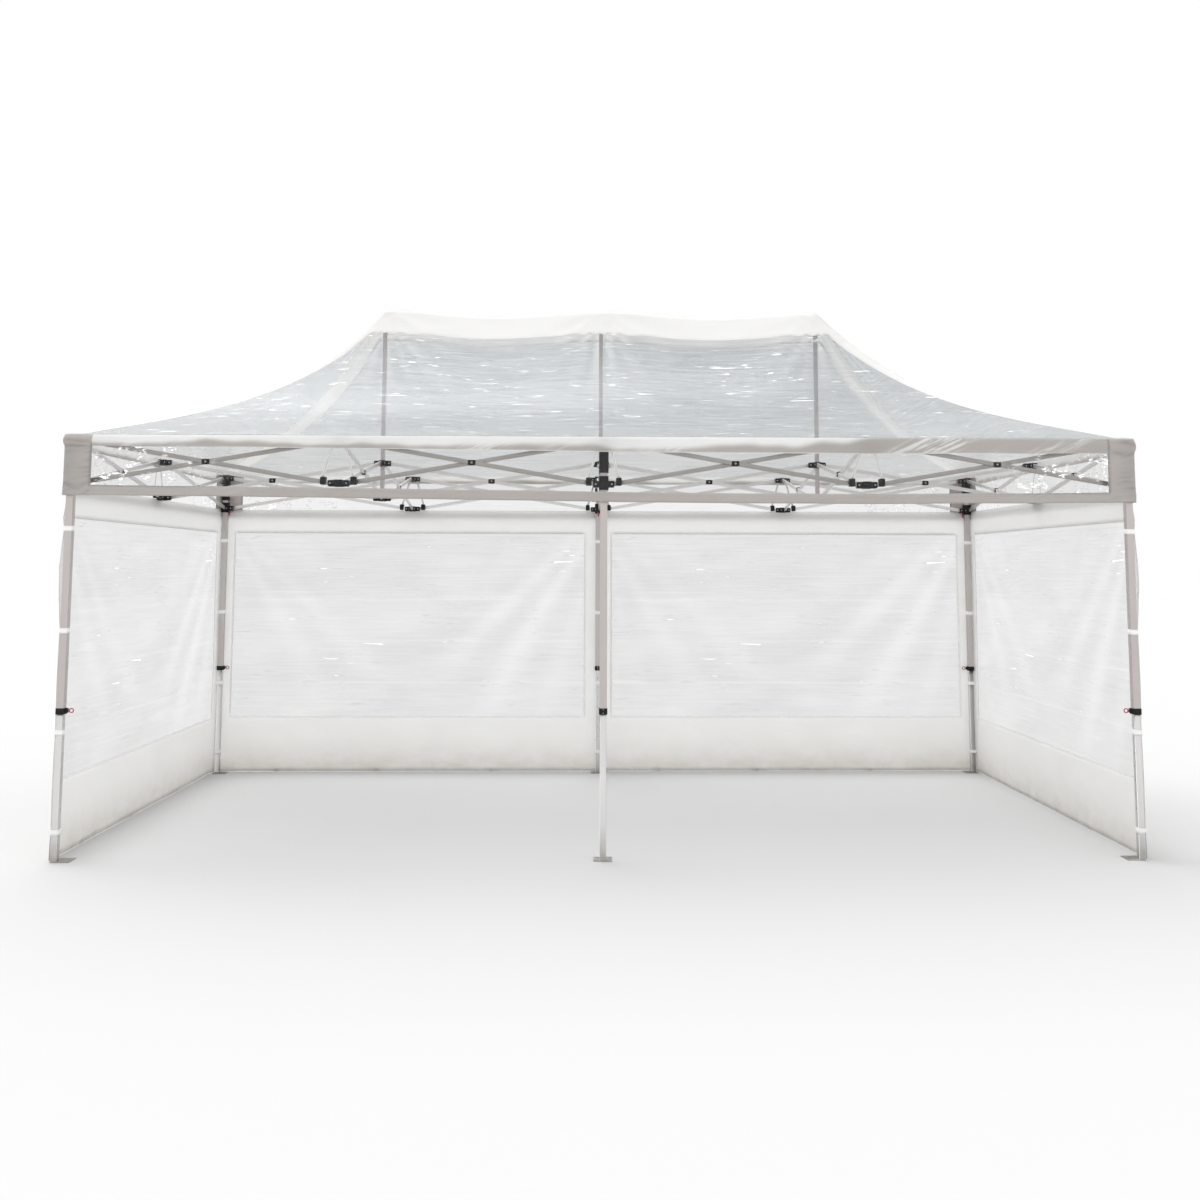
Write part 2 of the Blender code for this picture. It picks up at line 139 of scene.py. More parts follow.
@dataclass(frozen=True)
class TentPlan:
    """Sizes and places of the tent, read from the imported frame, in metres."""

    bay: float
    leg_x: float
    leg_y: float
    cover_x: float
    cover_y: float
    eave: float
    ridge: float
    valance_bottom: float
    cloth: float
    low_joint: float
    high_joint: float
    lock_height: float
    wall_x: float
    wall_y: float
    wall_bottom: float
    wall_top: float
    window_bottom: float
    window_top: float
    window_margin: float
    sag: float = 0.040
    linear_share: float = 0.50
    power: float = 3.2

    @classmethod
    def from_frame(cls) -> "TentPlan":
        """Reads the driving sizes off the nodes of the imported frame."""
        leg_low, leg_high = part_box("back_right_outer_leg")
        truss_low, truss_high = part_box("front_right_truss")
        cover_low, cover_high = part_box("roof_cover")
        valance_low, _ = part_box("valance")
        wall_low, wall_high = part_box("right_wall")
        window_low, window_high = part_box("right_window")
        back_low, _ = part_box("back_right_wall")
        casting_half = 0.020
        leg_y = (leg_low[1] + leg_high[1]) / 2
        return cls(
            bay=leg_y,
            leg_x=(leg_low[0] + leg_high[0]) / 2,
            leg_y=leg_y,
            cover_x=cover_high[0],
            cover_y=cover_high[1],
            eave=cover_low[2],
            ridge=cover_high[2],
            valance_bottom=valance_low[2],
            cloth=wall_high[0] - wall_low[0],
            low_joint=truss_low[2] + casting_half,
            high_joint=truss_high[2] - casting_half,
            lock_height=(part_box("back_right_leg_lock")[0][2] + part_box("back_right_leg_lock")[1][2]) / 2,
            wall_x=wall_low[0],
            wall_y=back_low[1],
            wall_bottom=wall_low[2],
            wall_top=wall_high[2],
            window_bottom=window_low[2],
            window_top=window_high[2],
            window_margin=window_low[1] - wall_low[1],
        )

    def roof_height(self, x: float, y: float) -> float:
        """Height of the cover's outer face over a point of the plan."""
        across = (self.cover_x - abs(x)) / (self.cover_x - self.bay)
        along = (self.cover_y - abs(y)) / self.cover_y
        share = max(0.0, min(1.0, across, along))
        rise = self.linear_share * share + (1 - self.linear_share) * share**self.power
        sag = self.sag * share * math.sin(math.pi * x / self.bay) ** 2 if abs(x) < self.bay else 0.0
        base = self.eave + self.cloth
        return base + (self.ridge - base) * rise - sag


CLOTH_MAP = "cloth"
SEAM_MAP = "seam"
# The tone layer carries painted shade on the cloth; on the film it clears the folds and places the painted glints.
TONE_LAYER = "tone"


class ShaderKit:
    """Builds the shared node groups once, and the material of each finish."""

    def __init__(self) -> None:
        """Makes the groups that the finishes share."""
        self.creases = self.make_creases()
        self.weave = self.make_weave()
        self.grain = self.make_grain()
        self.soil = self.make_soil()
        self.stitches = self.make_stitches()
        self.materials: dict[Finish, bpy.types.Material] = {}

    @staticmethod
    def new_group(name: str, inputs: Sequence[tuple[str, str, float]], outputs: Sequence[str]) -> bpy.types.NodeTree:
        """Makes an empty group with its sockets.

        Args:
            name: Name of the group.
            inputs: Name, socket kind ("Vector" or "Float") and starting value of each input.
            outputs: Names of the number outputs.

        Returns:
            The group, with its input and output nodes.
        """
        tree = bpy.data.node_groups.new(name, "ShaderNodeTree")
        for label, kind, value in inputs:
            socket = tree.interface.new_socket(name=label, in_out="INPUT", socket_type="NodeSocket" + kind)
            if kind == "Float":
                socket.default_value = value
        for label in outputs:
            tree.interface.new_socket(name=label, in_out="OUTPUT", socket_type="NodeSocketFloat")
        tree.nodes.new("NodeGroupInput").name = "in"
        tree.nodes.new("NodeGroupOutput").name = "out"
        return tree

    @staticmethod
    def math(tree: bpy.types.NodeTree, operation: str, first: object, second: object = None) -> bpy.types.NodeSocket:
        """Adds a Math node whose inputs are sockets or numbers, and returns its result."""
        node = tree.nodes.new("ShaderNodeMath")
        node.operation = operation
        for socket, value in zip(node.inputs, (first, second)):
            if isinstance(value, bpy.types.NodeSocket):
                tree.links.new(value, socket)
            elif value is not None:
                socket.default_value = float(value)
        return node.outputs[0]

    @staticmethod
    def stretched(tree: bpy.types.NodeTree, vector: object, along: object, across: object, up: object) -> object:
        """Scales a vector by its own amount on each axis."""
        combine = tree.nodes.new("ShaderNodeCombineXYZ")
        for socket, value in zip(combine.inputs, (along, across, up)):
            if isinstance(value, bpy.types.NodeSocket):
                tree.links.new(value, socket)
            else:
                socket.default_value = float(value)
        times = tree.nodes.new("ShaderNodeVectorMath")
        times.operation = "MULTIPLY"
        tree.links.new(vector, times.inputs[0])
        tree.links.new(combine.outputs[0], times.inputs[1])
        return times.outputs[0]

    @staticmethod
    def noise(tree: bpy.types.NodeTree, vector: object, detail: object, rough: float, distort: float) -> object:
        """Adds a noise texture at scale 1 and returns its value."""
        node = tree.nodes.new("ShaderNodeTexNoise")
        node.inputs["Scale"].default_value = 1.0
        if isinstance(detail, bpy.types.NodeSocket):
            tree.links.new(detail, node.inputs["Detail"])
        else:
            node.inputs["Detail"].default_value = detail
        node.inputs["Roughness"].default_value = rough
        node.inputs["Distortion"].default_value = distort
        tree.links.new(vector, node.inputs["Vector"])
        return node.outputs["Fac"]

    @classmethod
    def above(cls, tree: bpy.types.NodeTree, value: object, level: object, gain: object) -> bpy.types.NodeSocket:
        """Returns 0 where a value is under a level, and rises to 1 over it."""
        risen = cls.math(tree, "MULTIPLY", cls.math(tree, "SUBTRACT", value, level), gain)
        return cls.math(tree, "MINIMUM", cls.math(tree, "MAXIMUM", risen, 0.0), 1.0)

    def make_creases(self) -> bpy.types.NodeTree:
        """Creases of a sheet: a height, and a mask of the few crests, gathered in clusters, that catch the light."""
        tree = self.new_group(
            "sheet_creases",
            [
                ("Vector", "Vector", 0),
                ("Along", "Float", 3),
                ("Across", "Float", 9),
                ("Detail", "Float", 4),
                ("Sharpness", "Float", 12),
                ("Rarity", "Float", 0.55),
            ],
            ["Height", "Crest"],
        )
        given, out = tree.nodes["in"], tree.nodes["out"]
        along, across = given.outputs["Along"], given.outputs["Across"]
        vector = self.stretched(tree, given.outputs["Vector"], along, across, 1.0)
        value = self.noise(tree, vector, given.outputs["Detail"], 0.55, 0.6)
        peak = self.above(tree, value, given.outputs["Rarity"], given.outputs["Sharpness"])
        wide = self.stretched(tree, vector, 0.35, 0.12, 1.0)
        cluster = self.above(tree, self.noise(tree, wide, 1.5, 0.5, 0.0), 0.5, 8.0)
        tree.links.new(value, out.inputs["Height"])
        tree.links.new(self.math(tree, "MULTIPLY", peak, cluster), out.inputs["Crest"])
        return tree

    def make_weave(self) -> bpy.types.NodeTree:
        """Plain weave of the coated cloth, as a height between 0 and 1."""
        tree = self.new_group("plain_weave", [("Vector", "Vector", 0), ("Threads", "Float", 900)], ["Height"])
        given, out = tree.nodes["in"], tree.nodes["out"]
        split = tree.nodes.new("ShaderNodeSeparateXYZ")
        tree.links.new(given.outputs["Vector"], split.inputs[0])
        turns = self.math(tree, "MULTIPLY", given.outputs["Threads"], 2 * math.pi)
        warp = self.math(tree, "SINE", self.math(tree, "MULTIPLY", split.outputs[0], turns))
        weft = self.math(tree, "SINE", self.math(tree, "MULTIPLY", split.outputs[1], turns))
        product = self.math(tree, "MULTIPLY", warp, weft)
        tree.links.new(self.math(tree, "ADD", self.math(tree, "MULTIPLY", product, 0.5), 0.5), out.inputs["Height"])
        return tree

    def make_grain(self) -> bpy.types.NodeTree:
        """Fine grain of a moulding or the drawn streaks of a tube, as a value around 0.5."""
        tree = self.new_group(
            "surface_grain",
            [("Vector", "Vector", 0), ("Across", "Float", 600), ("Lengthwise", "Float", 600)],
            ["Value"],
        )
        given, out = tree.nodes["in"], tree.nodes["out"]
        across = given.outputs["Across"]
        vector = self.stretched(tree, given.outputs["Vector"], across, across, given.outputs["Lengthwise"])
        tree.links.new(self.noise(tree, vector, 3.0, 0.6, 0.0), out.inputs["Value"])
        return tree

    def make_soil(self) -> bpy.types.NodeTree:
        """Dust that gathers towards the ground: 1 at the ground, 0 above its reach."""
        tree = self.new_group("ground_soil", [("Vector", "Vector", 0), ("Reach", "Float", 0.4)], ["Mask"])
        given, out = tree.nodes["in"], tree.nodes["out"]
        split = tree.nodes.new("ShaderNodeSeparateXYZ")
        tree.links.new(given.outputs["Vector"], split.inputs[0])
        rise = self.math(tree, "DIVIDE", split.outputs[2], given.outputs["Reach"])
        low = self.math(tree, "SUBTRACT", 1.0, self.math(tree, "MINIMUM", rise, 1.0))
        patches = self.noise(tree, self.stretched(tree, given.outputs["Vector"], 9, 9, 14), 4.0, 0.6, 0.4)
        mask = self.math(tree, "MULTIPLY", self.math(tree, "POWER", low, 2.0), patches)
        tree.links.new(mask, out.inputs["Mask"])
        return tree

    def make_stitches(self) -> bpy.types.NodeTree:
        """Two rows of stitches beside a seam, from a map of the way along it and the distance in from it."""
        tree = self.new_group(
            "seam_stitches",
            [("Vector", "Vector", 0), ("First", "Float", 0.005), ("Second", "Float", 0.012), ("Pitch", "Float", 0.005)],
            ["Mask"],
        )
        given, out = tree.nodes["in"], tree.nodes["out"]
        split = tree.nodes.new("ShaderNodeSeparateXYZ")
        tree.links.new(given.outputs["Vector"], split.inputs[0])
        rows = []
        for label in ("First", "Second"):
            away = self.math(tree, "ABSOLUTE", self.math(tree, "SUBTRACT", split.outputs[1], given.outputs[label]))
            rows.append(self.math(tree, "LESS_THAN", away, 0.0007))
        turns = self.math(tree, "FRACT", self.math(tree, "DIVIDE", split.outputs[0], given.outputs["Pitch"]))
        thread = self.math(tree, "LESS_THAN", turns, 0.72)
        either = self.math(tree, "MAXIMUM", rows[0], rows[1])
        tree.links.new(self.math(tree, "MULTIPLY", either, thread), out.inputs["Mask"])
        return tree

    def material(self, finish: Finish) -> bpy.types.Material:
        """Returns the material of a finish, made on its first use."""
        if finish not in self.materials:
            self.materials[finish] = RECIPES[finish].build(self, finish.value)
        return self.materials[finish]


@dataclass(frozen=True)
class MaterialStart:
    """A new material with its shader and coordinates at hand."""

    tree: bpy.types.NodeTree
    shader: bpy.types.Node
    metres: bpy.types.NodeSocket

    @classmethod
    def new(cls, name: str) -> tuple[bpy.types.Material, "MaterialStart"]:
        """Makes the material with a Principled shader and a Texture Coordinate node."""
        made = bpy.data.materials.new(name)
        made.use_nodes = True
        tree = made.node_tree
        coordinates = tree.nodes.new("ShaderNodeTexCoord")
        return made, cls(tree, tree.nodes["Principled BSDF"], coordinates.outputs["Object"])

    def map(self, name: str) -> bpy.types.NodeSocket:
        """Coordinates of one of a sheet's own maps."""
        node = self.tree.nodes.new("ShaderNodeUVMap")
        node.uv_map = name
        return node.outputs["UV"]

    def slanted(self, vector: object, lean: float) -> bpy.types.NodeSocket:
        """Coordinates turned about their third axis."""
        node = self.tree.nodes.new("ShaderNodeMapping")
        node.inputs["Rotation"].default_value = (0.0, 0.0, lean)
        self.tree.links.new(vector, node.inputs["Vector"])
        return node.outputs["Vector"]

    def tone(self) -> bpy.types.NodeSocket:
        """How deep a spot's tone is, 0 where a sheet keeps none: painted shade on cloth, and on film clearer folds and
        where painted glints may show.
        """
        node = self.tree.nodes.new("ShaderNodeAttribute")
        node.attribute_name = TONE_LAYER
        return node.outputs["Fac"]

    def group(self, tree: bpy.types.NodeTree, vector: object, **values: float) -> bpy.types.Node:
        """Places a shared group, fed with coordinates and its own values."""
        node = self.tree.nodes.new("ShaderNodeGroup")
        node.node_tree = tree
        self.tree.links.new(vector, node.inputs["Vector"])
        for label, value in values.items():
            node.inputs[label].default_value = value
        return node

    def blend(self, share: object, first: object, second: object) -> object:
        """Mixes two colours, each a socket or a plain colour, by a share."""
        mix = self.tree.nodes.new("ShaderNodeMix")
        mix.data_type = "RGBA"
        self.tree.links.new(share, mix.inputs["Factor"])
        for socket, value in ((mix.inputs["A"], first), (mix.inputs["B"], second)):
            if isinstance(value, bpy.types.NodeSocket):
                self.tree.links.new(value, socket)
            else:
                socket.default_value = (*value, 1.0)
        return mix.outputs["Result"]

    def spread(self, share: object, low: float, high: float) -> object:
        """Maps a value of 0 to 1 onto a range."""
        node = self.tree.nodes.new("ShaderNodeMapRange")
        node.inputs["To Min"].default_value = low
        node.inputs["To Max"].default_value = high
        self.tree.links.new(share, node.inputs["Value"])
        return node.outputs["Result"]

    def bump(self, height: object, distance: float, strength: float, under: object = None) -> object:
        """Adds a bump from a height, over another normal if one is given."""
        node = self.tree.nodes.new("ShaderNodeBump")
        node.inputs["Distance"].default_value = distance
        node.inputs["Strength"].default_value = strength
        self.tree.links.new(height, node.inputs["Height"])
        if under is not None:
            self.tree.links.new(under, node.inputs["Normal"])
        return node.outputs["Normal"]

    def let_light_through(self, colour: object, share: float) -> None:
        """Lets a share of the light shine through a thin cloth, tinted by its colour."""
        nodes, links = self.tree.nodes, self.tree.links
        through = nodes.new("ShaderNodeBsdfTranslucent")
        links.new(colour, through.inputs["Color"])
        mix = nodes.new("ShaderNodeMixShader")
        mix.inputs["Fac"].default_value = share
        links.new(self.shader.outputs["BSDF"], mix.inputs[1])
        links.new(through.outputs["BSDF"], mix.inputs[2])
        links.new(mix.outputs["Shader"], nodes["Material Output"].inputs["Surface"])

    def feed(self, **sockets: object) -> None:
        """Links or sets the shader's inputs, named with underscores for spaces."""
        for label, value in sockets.items():
            socket = self.shader.inputs[label.replace("_", " ")]
            if isinstance(value, bpy.types.NodeSocket):
                self.tree.links.new(value, socket)
            else:
                socket.default_value = value


@dataclass(frozen=True)
class Metal:
    """Satin metal with drawn streaks, a little uneven and dusty near the ground."""

    colour: Point
    roughness: float
    metallic: float = 1.0
    across: float = 420.0
    lengthwise: float = 5.0

    def build(self, kit: ShaderKit, name: str) -> bpy.types.Material:
        """Makes the material."""
        made, start = MaterialStart.new(name)
        streaks = start.group(kit.grain, start.metres, Across=self.across, Lengthwise=self.lengthwise)
        clouds = start.group(kit.grain, start.metres, Across=7.0, Lengthwise=3.0)
        soil = start.group(kit.soil, start.metres, Reach=0.25)
        darker = tuple(0.86 * part for part in self.colour)
        metal = start.blend(clouds.outputs["Value"], darker, self.colour)
        dusty = start.blend(soil.outputs["Mask"], metal, (0.24, 0.21, 0.17))
        start.feed(
            Base_Color=dusty,
            Metallic=self.metallic,
            Roughness=start.spread(streaks.outputs["Value"], self.roughness - 0.08, self.roughness + 0.1),
            Normal=start.bump(streaks.outputs["Value"], 0.0003, 0.25),
        )
        return made


@dataclass(frozen=True)
class Moulding:
    """Moulded plastic with a fine grain and slightly paler scuffs."""

    colour: Point
    scuff: Point
    roughness: float
    coat: float = 0.0
    sheen: float = 0.5

    def build(self, kit: ShaderKit, name: str) -> bpy.types.Material:
        """Makes the material."""
        made, start = MaterialStart.new(name)
        grain = start.group(kit.grain, start.metres, Across=1500.0, Lengthwise=1500.0)
        scuffs = start.group(kit.creases, start.metres, Along=60.0, Across=45.0, Sharpness=8.0, Rarity=0.6)
        start.feed(
            Base_Color=start.blend(scuffs.outputs["Crest"], self.colour, self.scuff),
            Roughness=start.spread(grain.outputs["Value"], self.roughness - 0.06, self.roughness + 0.12),
            Coat_Weight=self.coat,
            Specular_IOR_Level=self.sheen,
            Normal=start.bump(grain.outputs["Value"], 0.0004, 0.35),
        )
        return made


@dataclass(frozen=True)
class Cloth:
    """Coated cloth or webbing: weave, soft creases, soil towards the ground, painted shade in the creases and where the
    tone layer marks it, and painted highlight streaks that lift that shade.
    """

    colour: Point
    # shade is the colour of the painted shade in the creases.
    shade: Point
    roughness: float
    threads: float = 700.0
    along: float = 2.4
    across: float = 5.0
    crease: float = 0.006
    thread: Point = (0.66, 0.65, 0.63)
    # deep is the colour of the painted shade that the tone layer marks.
    deep: Point = (0.61, 0.582, 0.558)
    passes: float = 0.5
    lean: float = -0.33

    def build(self, kit: ShaderKit, name: str) -> bpy.types.Material:
        """Makes the material."""
        made, start = MaterialStart.new(name)
        flat = start.map(CLOTH_MAP)
        creases = start.group(kit.creases, flat, Along=self.along, Across=self.across)
        weave = start.group(kit.weave, flat, Threads=self.threads)
        soil = start.group(kit.soil, start.metres, Reach=0.35)
        stitches = start.group(kit.stitches, start.map(SEAM_MAP))
        # Painted shade: the colour darkens towards shade in the creases.
        creased = start.blend(creases.outputs["Height"], self.shade, self.colour)
        # Slanted streaks are painted highlights that lift the tone layer's painted shade.
        streaks = start.group(
            kit.creases, start.slanted(flat, self.lean), Along=5.0, Across=75.0, Detail=2.0, Sharpness=9.0, Rarity=0.46
        )
        outside_painted_highlights = start.spread(streaks.outputs["Crest"], 1.0, 0.2)
        with_painted_shade = start.blend(ShaderKit.math(start.tree, "MULTIPLY", start.tone(), outside_painted_highlights), creased, self.deep)
        sewn = start.blend(stitches.outputs["Mask"], with_painted_shade, self.thread)
        soiled = start.blend(soil.outputs["Mask"], sewn, (0.66, 0.63, 0.58))
        sunk = ShaderKit.math(start.tree, "SUBTRACT", 1.0, stitches.outputs["Mask"])
        folds = start.bump(creases.outputs["Height"], self.crease, 0.6, start.bump(sunk, 0.0004, 0.5))
        start.feed(
            Base_Color=soiled,
            Roughness=start.spread(creases.outputs["Height"], self.roughness - 0.08, self.roughness + 0.08),
            Sheen_Weight=0.15,
            Normal=start.bump(weave.outputs["Height"], 0.0003, 0.3, folds),
        )
        if self.passes:
            start.let_light_through(soiled, self.passes)
        return made


@dataclass(frozen=True)
class Film:
    """Clear film: nearly see-through, faintly lined, clearer along its folds, with a few painted glints: white spots
    that glow a little, painted highlights that no lamp makes.

    With glint_by_tone at 1 the painted glints keep to the places that the tone marks, where the film is crinkled.
    """

    colour: Point
    alpha: float
    along: float
    across: float
    sharpness: float
    rarity: float
    glint_alpha: float
    detail: float = 1.0
    glint_by_tone: float = 0.0
    fold_clears: float = 0.6
    lining: float = 0.35
    clouding: float = 0.4
    # The painted glints' colour, and the strength of the glow that paints them.
    painted_glint_colour: Point = (1.0, 1.0, 1.0)
    painted_glint_glow: float = 0.6

    def build(self, kit: ShaderKit, name: str) -> bpy.types.Material:
        """Makes the material."""
        made, start = MaterialStart.new(name)
        flat, tree, calculate = start.map(CLOTH_MAP), start.tree, ShaderKit.math
        streaks = start.group(
            kit.creases,
            flat,
            Along=self.along,
            Across=self.across,
            Detail=self.detail,
            Sharpness=self.sharpness,
            Rarity=self.rarity,
        )
        lines = start.group(kit.creases, flat, Along=2.2, Across=75.0, Detail=3.0)
        broad = start.group(kit.creases, flat, Along=1.3, Across=3.1, Detail=3.0)
        tone = start.tone()
        # The crests are painted glints: white, glowing, and clearer than the haze round them.
        crest = calculate(
            tree, "MULTIPLY", streaks.outputs["Crest"], start.spread(tone, 1 - self.glint_by_tone, 1.0)
        )
        lined = start.spread(lines.outputs["Height"], 1 - self.lining, 1 + self.lining)
        low, high = (1 - self.clouding) * self.alpha, (1 + self.clouding) * self.alpha
        haze = calculate(tree, "MULTIPLY", lined, start.spread(broad.outputs["Height"], low, high))
        folded = calculate(tree, "MULTIPLY", haze, start.spread(tone, 1.0, 1 - self.fold_clears))
        cleared = calculate(tree, "MULTIPLY", folded, start.spread(crest, 1.0, 0.0))
        shown = calculate(tree, "ADD", cleared, calculate(tree, "MULTIPLY", crest, self.glint_alpha))
        folds = start.bump(broad.outputs["Height"], 0.02, 0.5)
        start.feed(
            Base_Color=start.blend(crest, self.colour, self.painted_glint_colour),
            # Painted glints glow though no lamp lights them.
            Emission_Color=start.blend(crest, (0.0, 0.0, 0.0), self.painted_glint_colour),
            Emission_Strength=self.painted_glint_glow,
            Roughness=start.spread(lines.outputs["Height"], 0.06, 0.2),
            Alpha=shown,
            IOR=1.53,
            Normal=start.bump(lines.outputs["Height"], 0.003, 0.6, folds),
        )
        made.cycles.emission_sampling = "NONE"
        return made


RECIPES = {
    Finish.TUBE: Metal((0.57, 0.53, 0.515), 0.40),
    Finish.BRIGHT_TUBE: Metal((0.70, 0.69, 0.685), 0.36),
    # One satin bar metal in two copies: painted shade for the front bars, painted light for the others.
    Finish.BAR: Metal((0.44, 0.42, 0.40), 0.40, across=90.0, lengthwise=90.0),
    Finish.BRIGHT_BAR: Metal((0.80, 0.79, 0.78), 0.40, across=90.0, lengthwise=90.0),
    Finish.STEEL: Metal((0.52, 0.52, 0.51), 0.36, across=60.0, lengthwise=60.0),
    Finish.NYLON: Moulding((0.010, 0.010, 0.011), (0.035, 0.035, 0.035), 0.42, sheen=0.22),
    Finish.PULL: Moulding((0.34, 0.022, 0.036), (0.6, 0.2, 0.2), 0.32, coat=0.3),
    Finish.CLOTH: Cloth((0.945, 0.945, 0.935), (0.90, 0.895, 0.885), 0.58),
    # Hem band and corner patches: the white cloth darkened with painted shade, and deeper painted shade in the gathers.
    Finish.BAND: Cloth(
        (0.66, 0.625, 0.60), (0.57, 0.535, 0.51), 0.60, along=1.5, across=9.0, deep=(0.36, 0.34, 0.325), passes=0.4
    ),
    Finish.FILM: Film((0.10, 0.105, 0.10), 0.135, 5.0, 40.0, 12.0, 0.66, 0.7, fold_clears=0.4),
    Finish.STRIP_FILM: Film(
        (0.10, 0.10, 0.095), 0.075, 38.0, 110.0, 12.0, 0.50, 0.7, detail=3.0, glint_by_tone=1.0, fold_clears=0.0
    ),
    Finish.ROOF_FILM: Film((0.12, 0.165, 0.19), 0.185, 8.0, 115.0, 10.0, 0.63, 0.85, lining=0.5, clouding=0.25),
    Finish.WEBBING: Cloth((0.94, 0.94, 0.93), (0.88, 0.875, 0.865), 0.75, threads=420.0, crease=0.001, passes=0.0),
    Finish.LOOP: Cloth((0.10, 0.10, 0.105), (0.05, 0.05, 0.055), 0.7, threads=420.0, crease=0.001, passes=0.0),
}


def dressed(
    name: str,
    bm: bmesh.types.BMesh,
    kit: ShaderKit,
    finishes: Sequence[Finish],
    body: str = ROOT,
    stands_for: Sequence[str] = (),
    thickness: float = 0.0,
) -> bpy.types.Object:
    """Makes a finished piece from a bmesh.

    Args:
        name: Name of the piece.
        bm: Its shape, freed here.
        kit: The maker of its materials.
        finishes: Its finishes, in the order of the faces' material indices.
        body: The body that it rides on.
        stands_for: The frame's nodes that it replaces.
        thickness: Thickness of a sheet, or 0 for a closed shape.

    Returns:
        The piece.
    """
    mesh = bpy.data.meshes.new(name)
    bm.to_mesh(mesh)
    bm.free()
    mesh.shade_smooth()
    if not thickness:
        mesh.set_sharp_from_angle(angle=math.radians(35))
    made = bpy.data.objects.new(name, mesh)
    bpy.context.scene.collection.objects.link(made)
    for finish in finishes:
        mesh.materials.append(kit.material(finish))
    if thickness:
        shell = made.modifiers.new("thickness", "SOLIDIFY")
        shell.thickness = thickness
        shell.offset = 0.0
    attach(made, body)
    if stands_for:
        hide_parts(*stands_for)
    LOG.info("%s rides on %s with %d faces", name, body, len(mesh.polygons))
    return made


@dataclass
class Patch:
    """A sheet over a grid of stations, placed point by point."""

    across: Sequence[float]
    up: Sequence[float]
    place: Callable[[float, float], Vector]
    measure: Callable[[float, float], tuple[float, float]]
    finish: Callable[[float, float], int | None]
    seam: Callable[[float, float], tuple[float, float]]
    tone: Callable[[float, float], float] | None = None

    def add_to(self, bm: bmesh.types.BMesh) -> None:
        """Adds the sheet's faces, with their coordinates in metres, finish and tone, to a bmesh."""
        columns, rows = len(self.across) - 1, len(self.up) - 1
        layers = bm.loops.layers.uv
        cloth = layers.get(CLOTH_MAP) or layers.new(CLOTH_MAP)
        seams = layers.get(SEAM_MAP) or layers.new(SEAM_MAP)
        tones = bm.verts.layers.float.get(TONE_LAYER) or bm.verts.layers.float.new(TONE_LAYER)
        made = bmesh.ops.create_grid(bm, x_segments=columns, y_segments=rows, size=1.0)
        cells = {
            vert: (round((vert.co.x + 1) / 2 * columns), round((vert.co.y + 1) / 2 * rows)) for vert in made["verts"]
        }
        faces = {face for vert in made["verts"] for face in vert.link_faces}
        unwanted = []
        for face in faces:
            corner = [cells[vert] for vert in face.verts]
            left, low = min(cell[0] for cell in corner), min(cell[1] for cell in corner)
            middle = (self.across[left] + self.across[left + 1]) / 2, (self.up[low] + self.up[low + 1]) / 2
            index = self.finish(*middle)
            if index is None:
                unwanted.append(face)
                continue
            face.material_index = index
            for loop in face.loops:
                i, j = cells[loop.vert]
                loop[cloth].uv = self.measure(self.across[i], self.up[j])
                loop[seams].uv = self.seam(self.across[i], self.up[j])
        for vert, (i, j) in cells.items():
            vert.co = self.place(self.across[i], self.up[j])
            if self.tone is not None:
                vert[tones] = self.tone(self.across[i], self.up[j])
        bmesh.ops.delete(bm, geom=unwanted, context="FACES")


def add_block(bm: bmesh.types.BMesh, size: Point, centre: Point, bevel: float, turn: Matrix | None = None) -> None:
    """Adds a block with rounded edges, turned about its middle and moved to its place."""
    made = bmesh.ops.create_cube(bm, size=1.0)
    verts = made["verts"]
    bmesh.ops.scale(bm, vec=size, verts=verts)
    edges = list({edge for vert in verts for edge in vert.link_edges})
    rounded = bmesh.ops.bevel(
        bm, geom=edges, offset=bevel, segments=2, profile=0.5, affect="EDGES", material=-1, clamp_overlap=True
    )["verts"]
    if turn is not None:
        bmesh.ops.rotate(bm, cent=(0, 0, 0), matrix=turn, verts=rounded)
    bmesh.ops.translate(bm, vec=centre, verts=rounded)


def add_stud(bm: bmesh.types.BMesh, centre: Point, axis: Vector, radius: float, height: float, index: int = 0) -> None:
    """Adds a low domed rivet head whose flat side faces against the axis."""
    made = bmesh.ops.create_cone(bm, cap_ends=True, segments=14, radius1=radius, radius2=radius * 0.72, depth=height)
    turn = Vector((0, 0, 1)).rotation_difference(axis).to_matrix()
    bmesh.ops.rotate(bm, cent=(0, 0, 0), matrix=turn, verts=made["verts"])
    bmesh.ops.translate(bm, vec=Vector(centre) + axis * height / 2, verts=made["verts"])
    for face in {face for vert in made["verts"] for face in vert.link_faces}:
        face.material_index = index


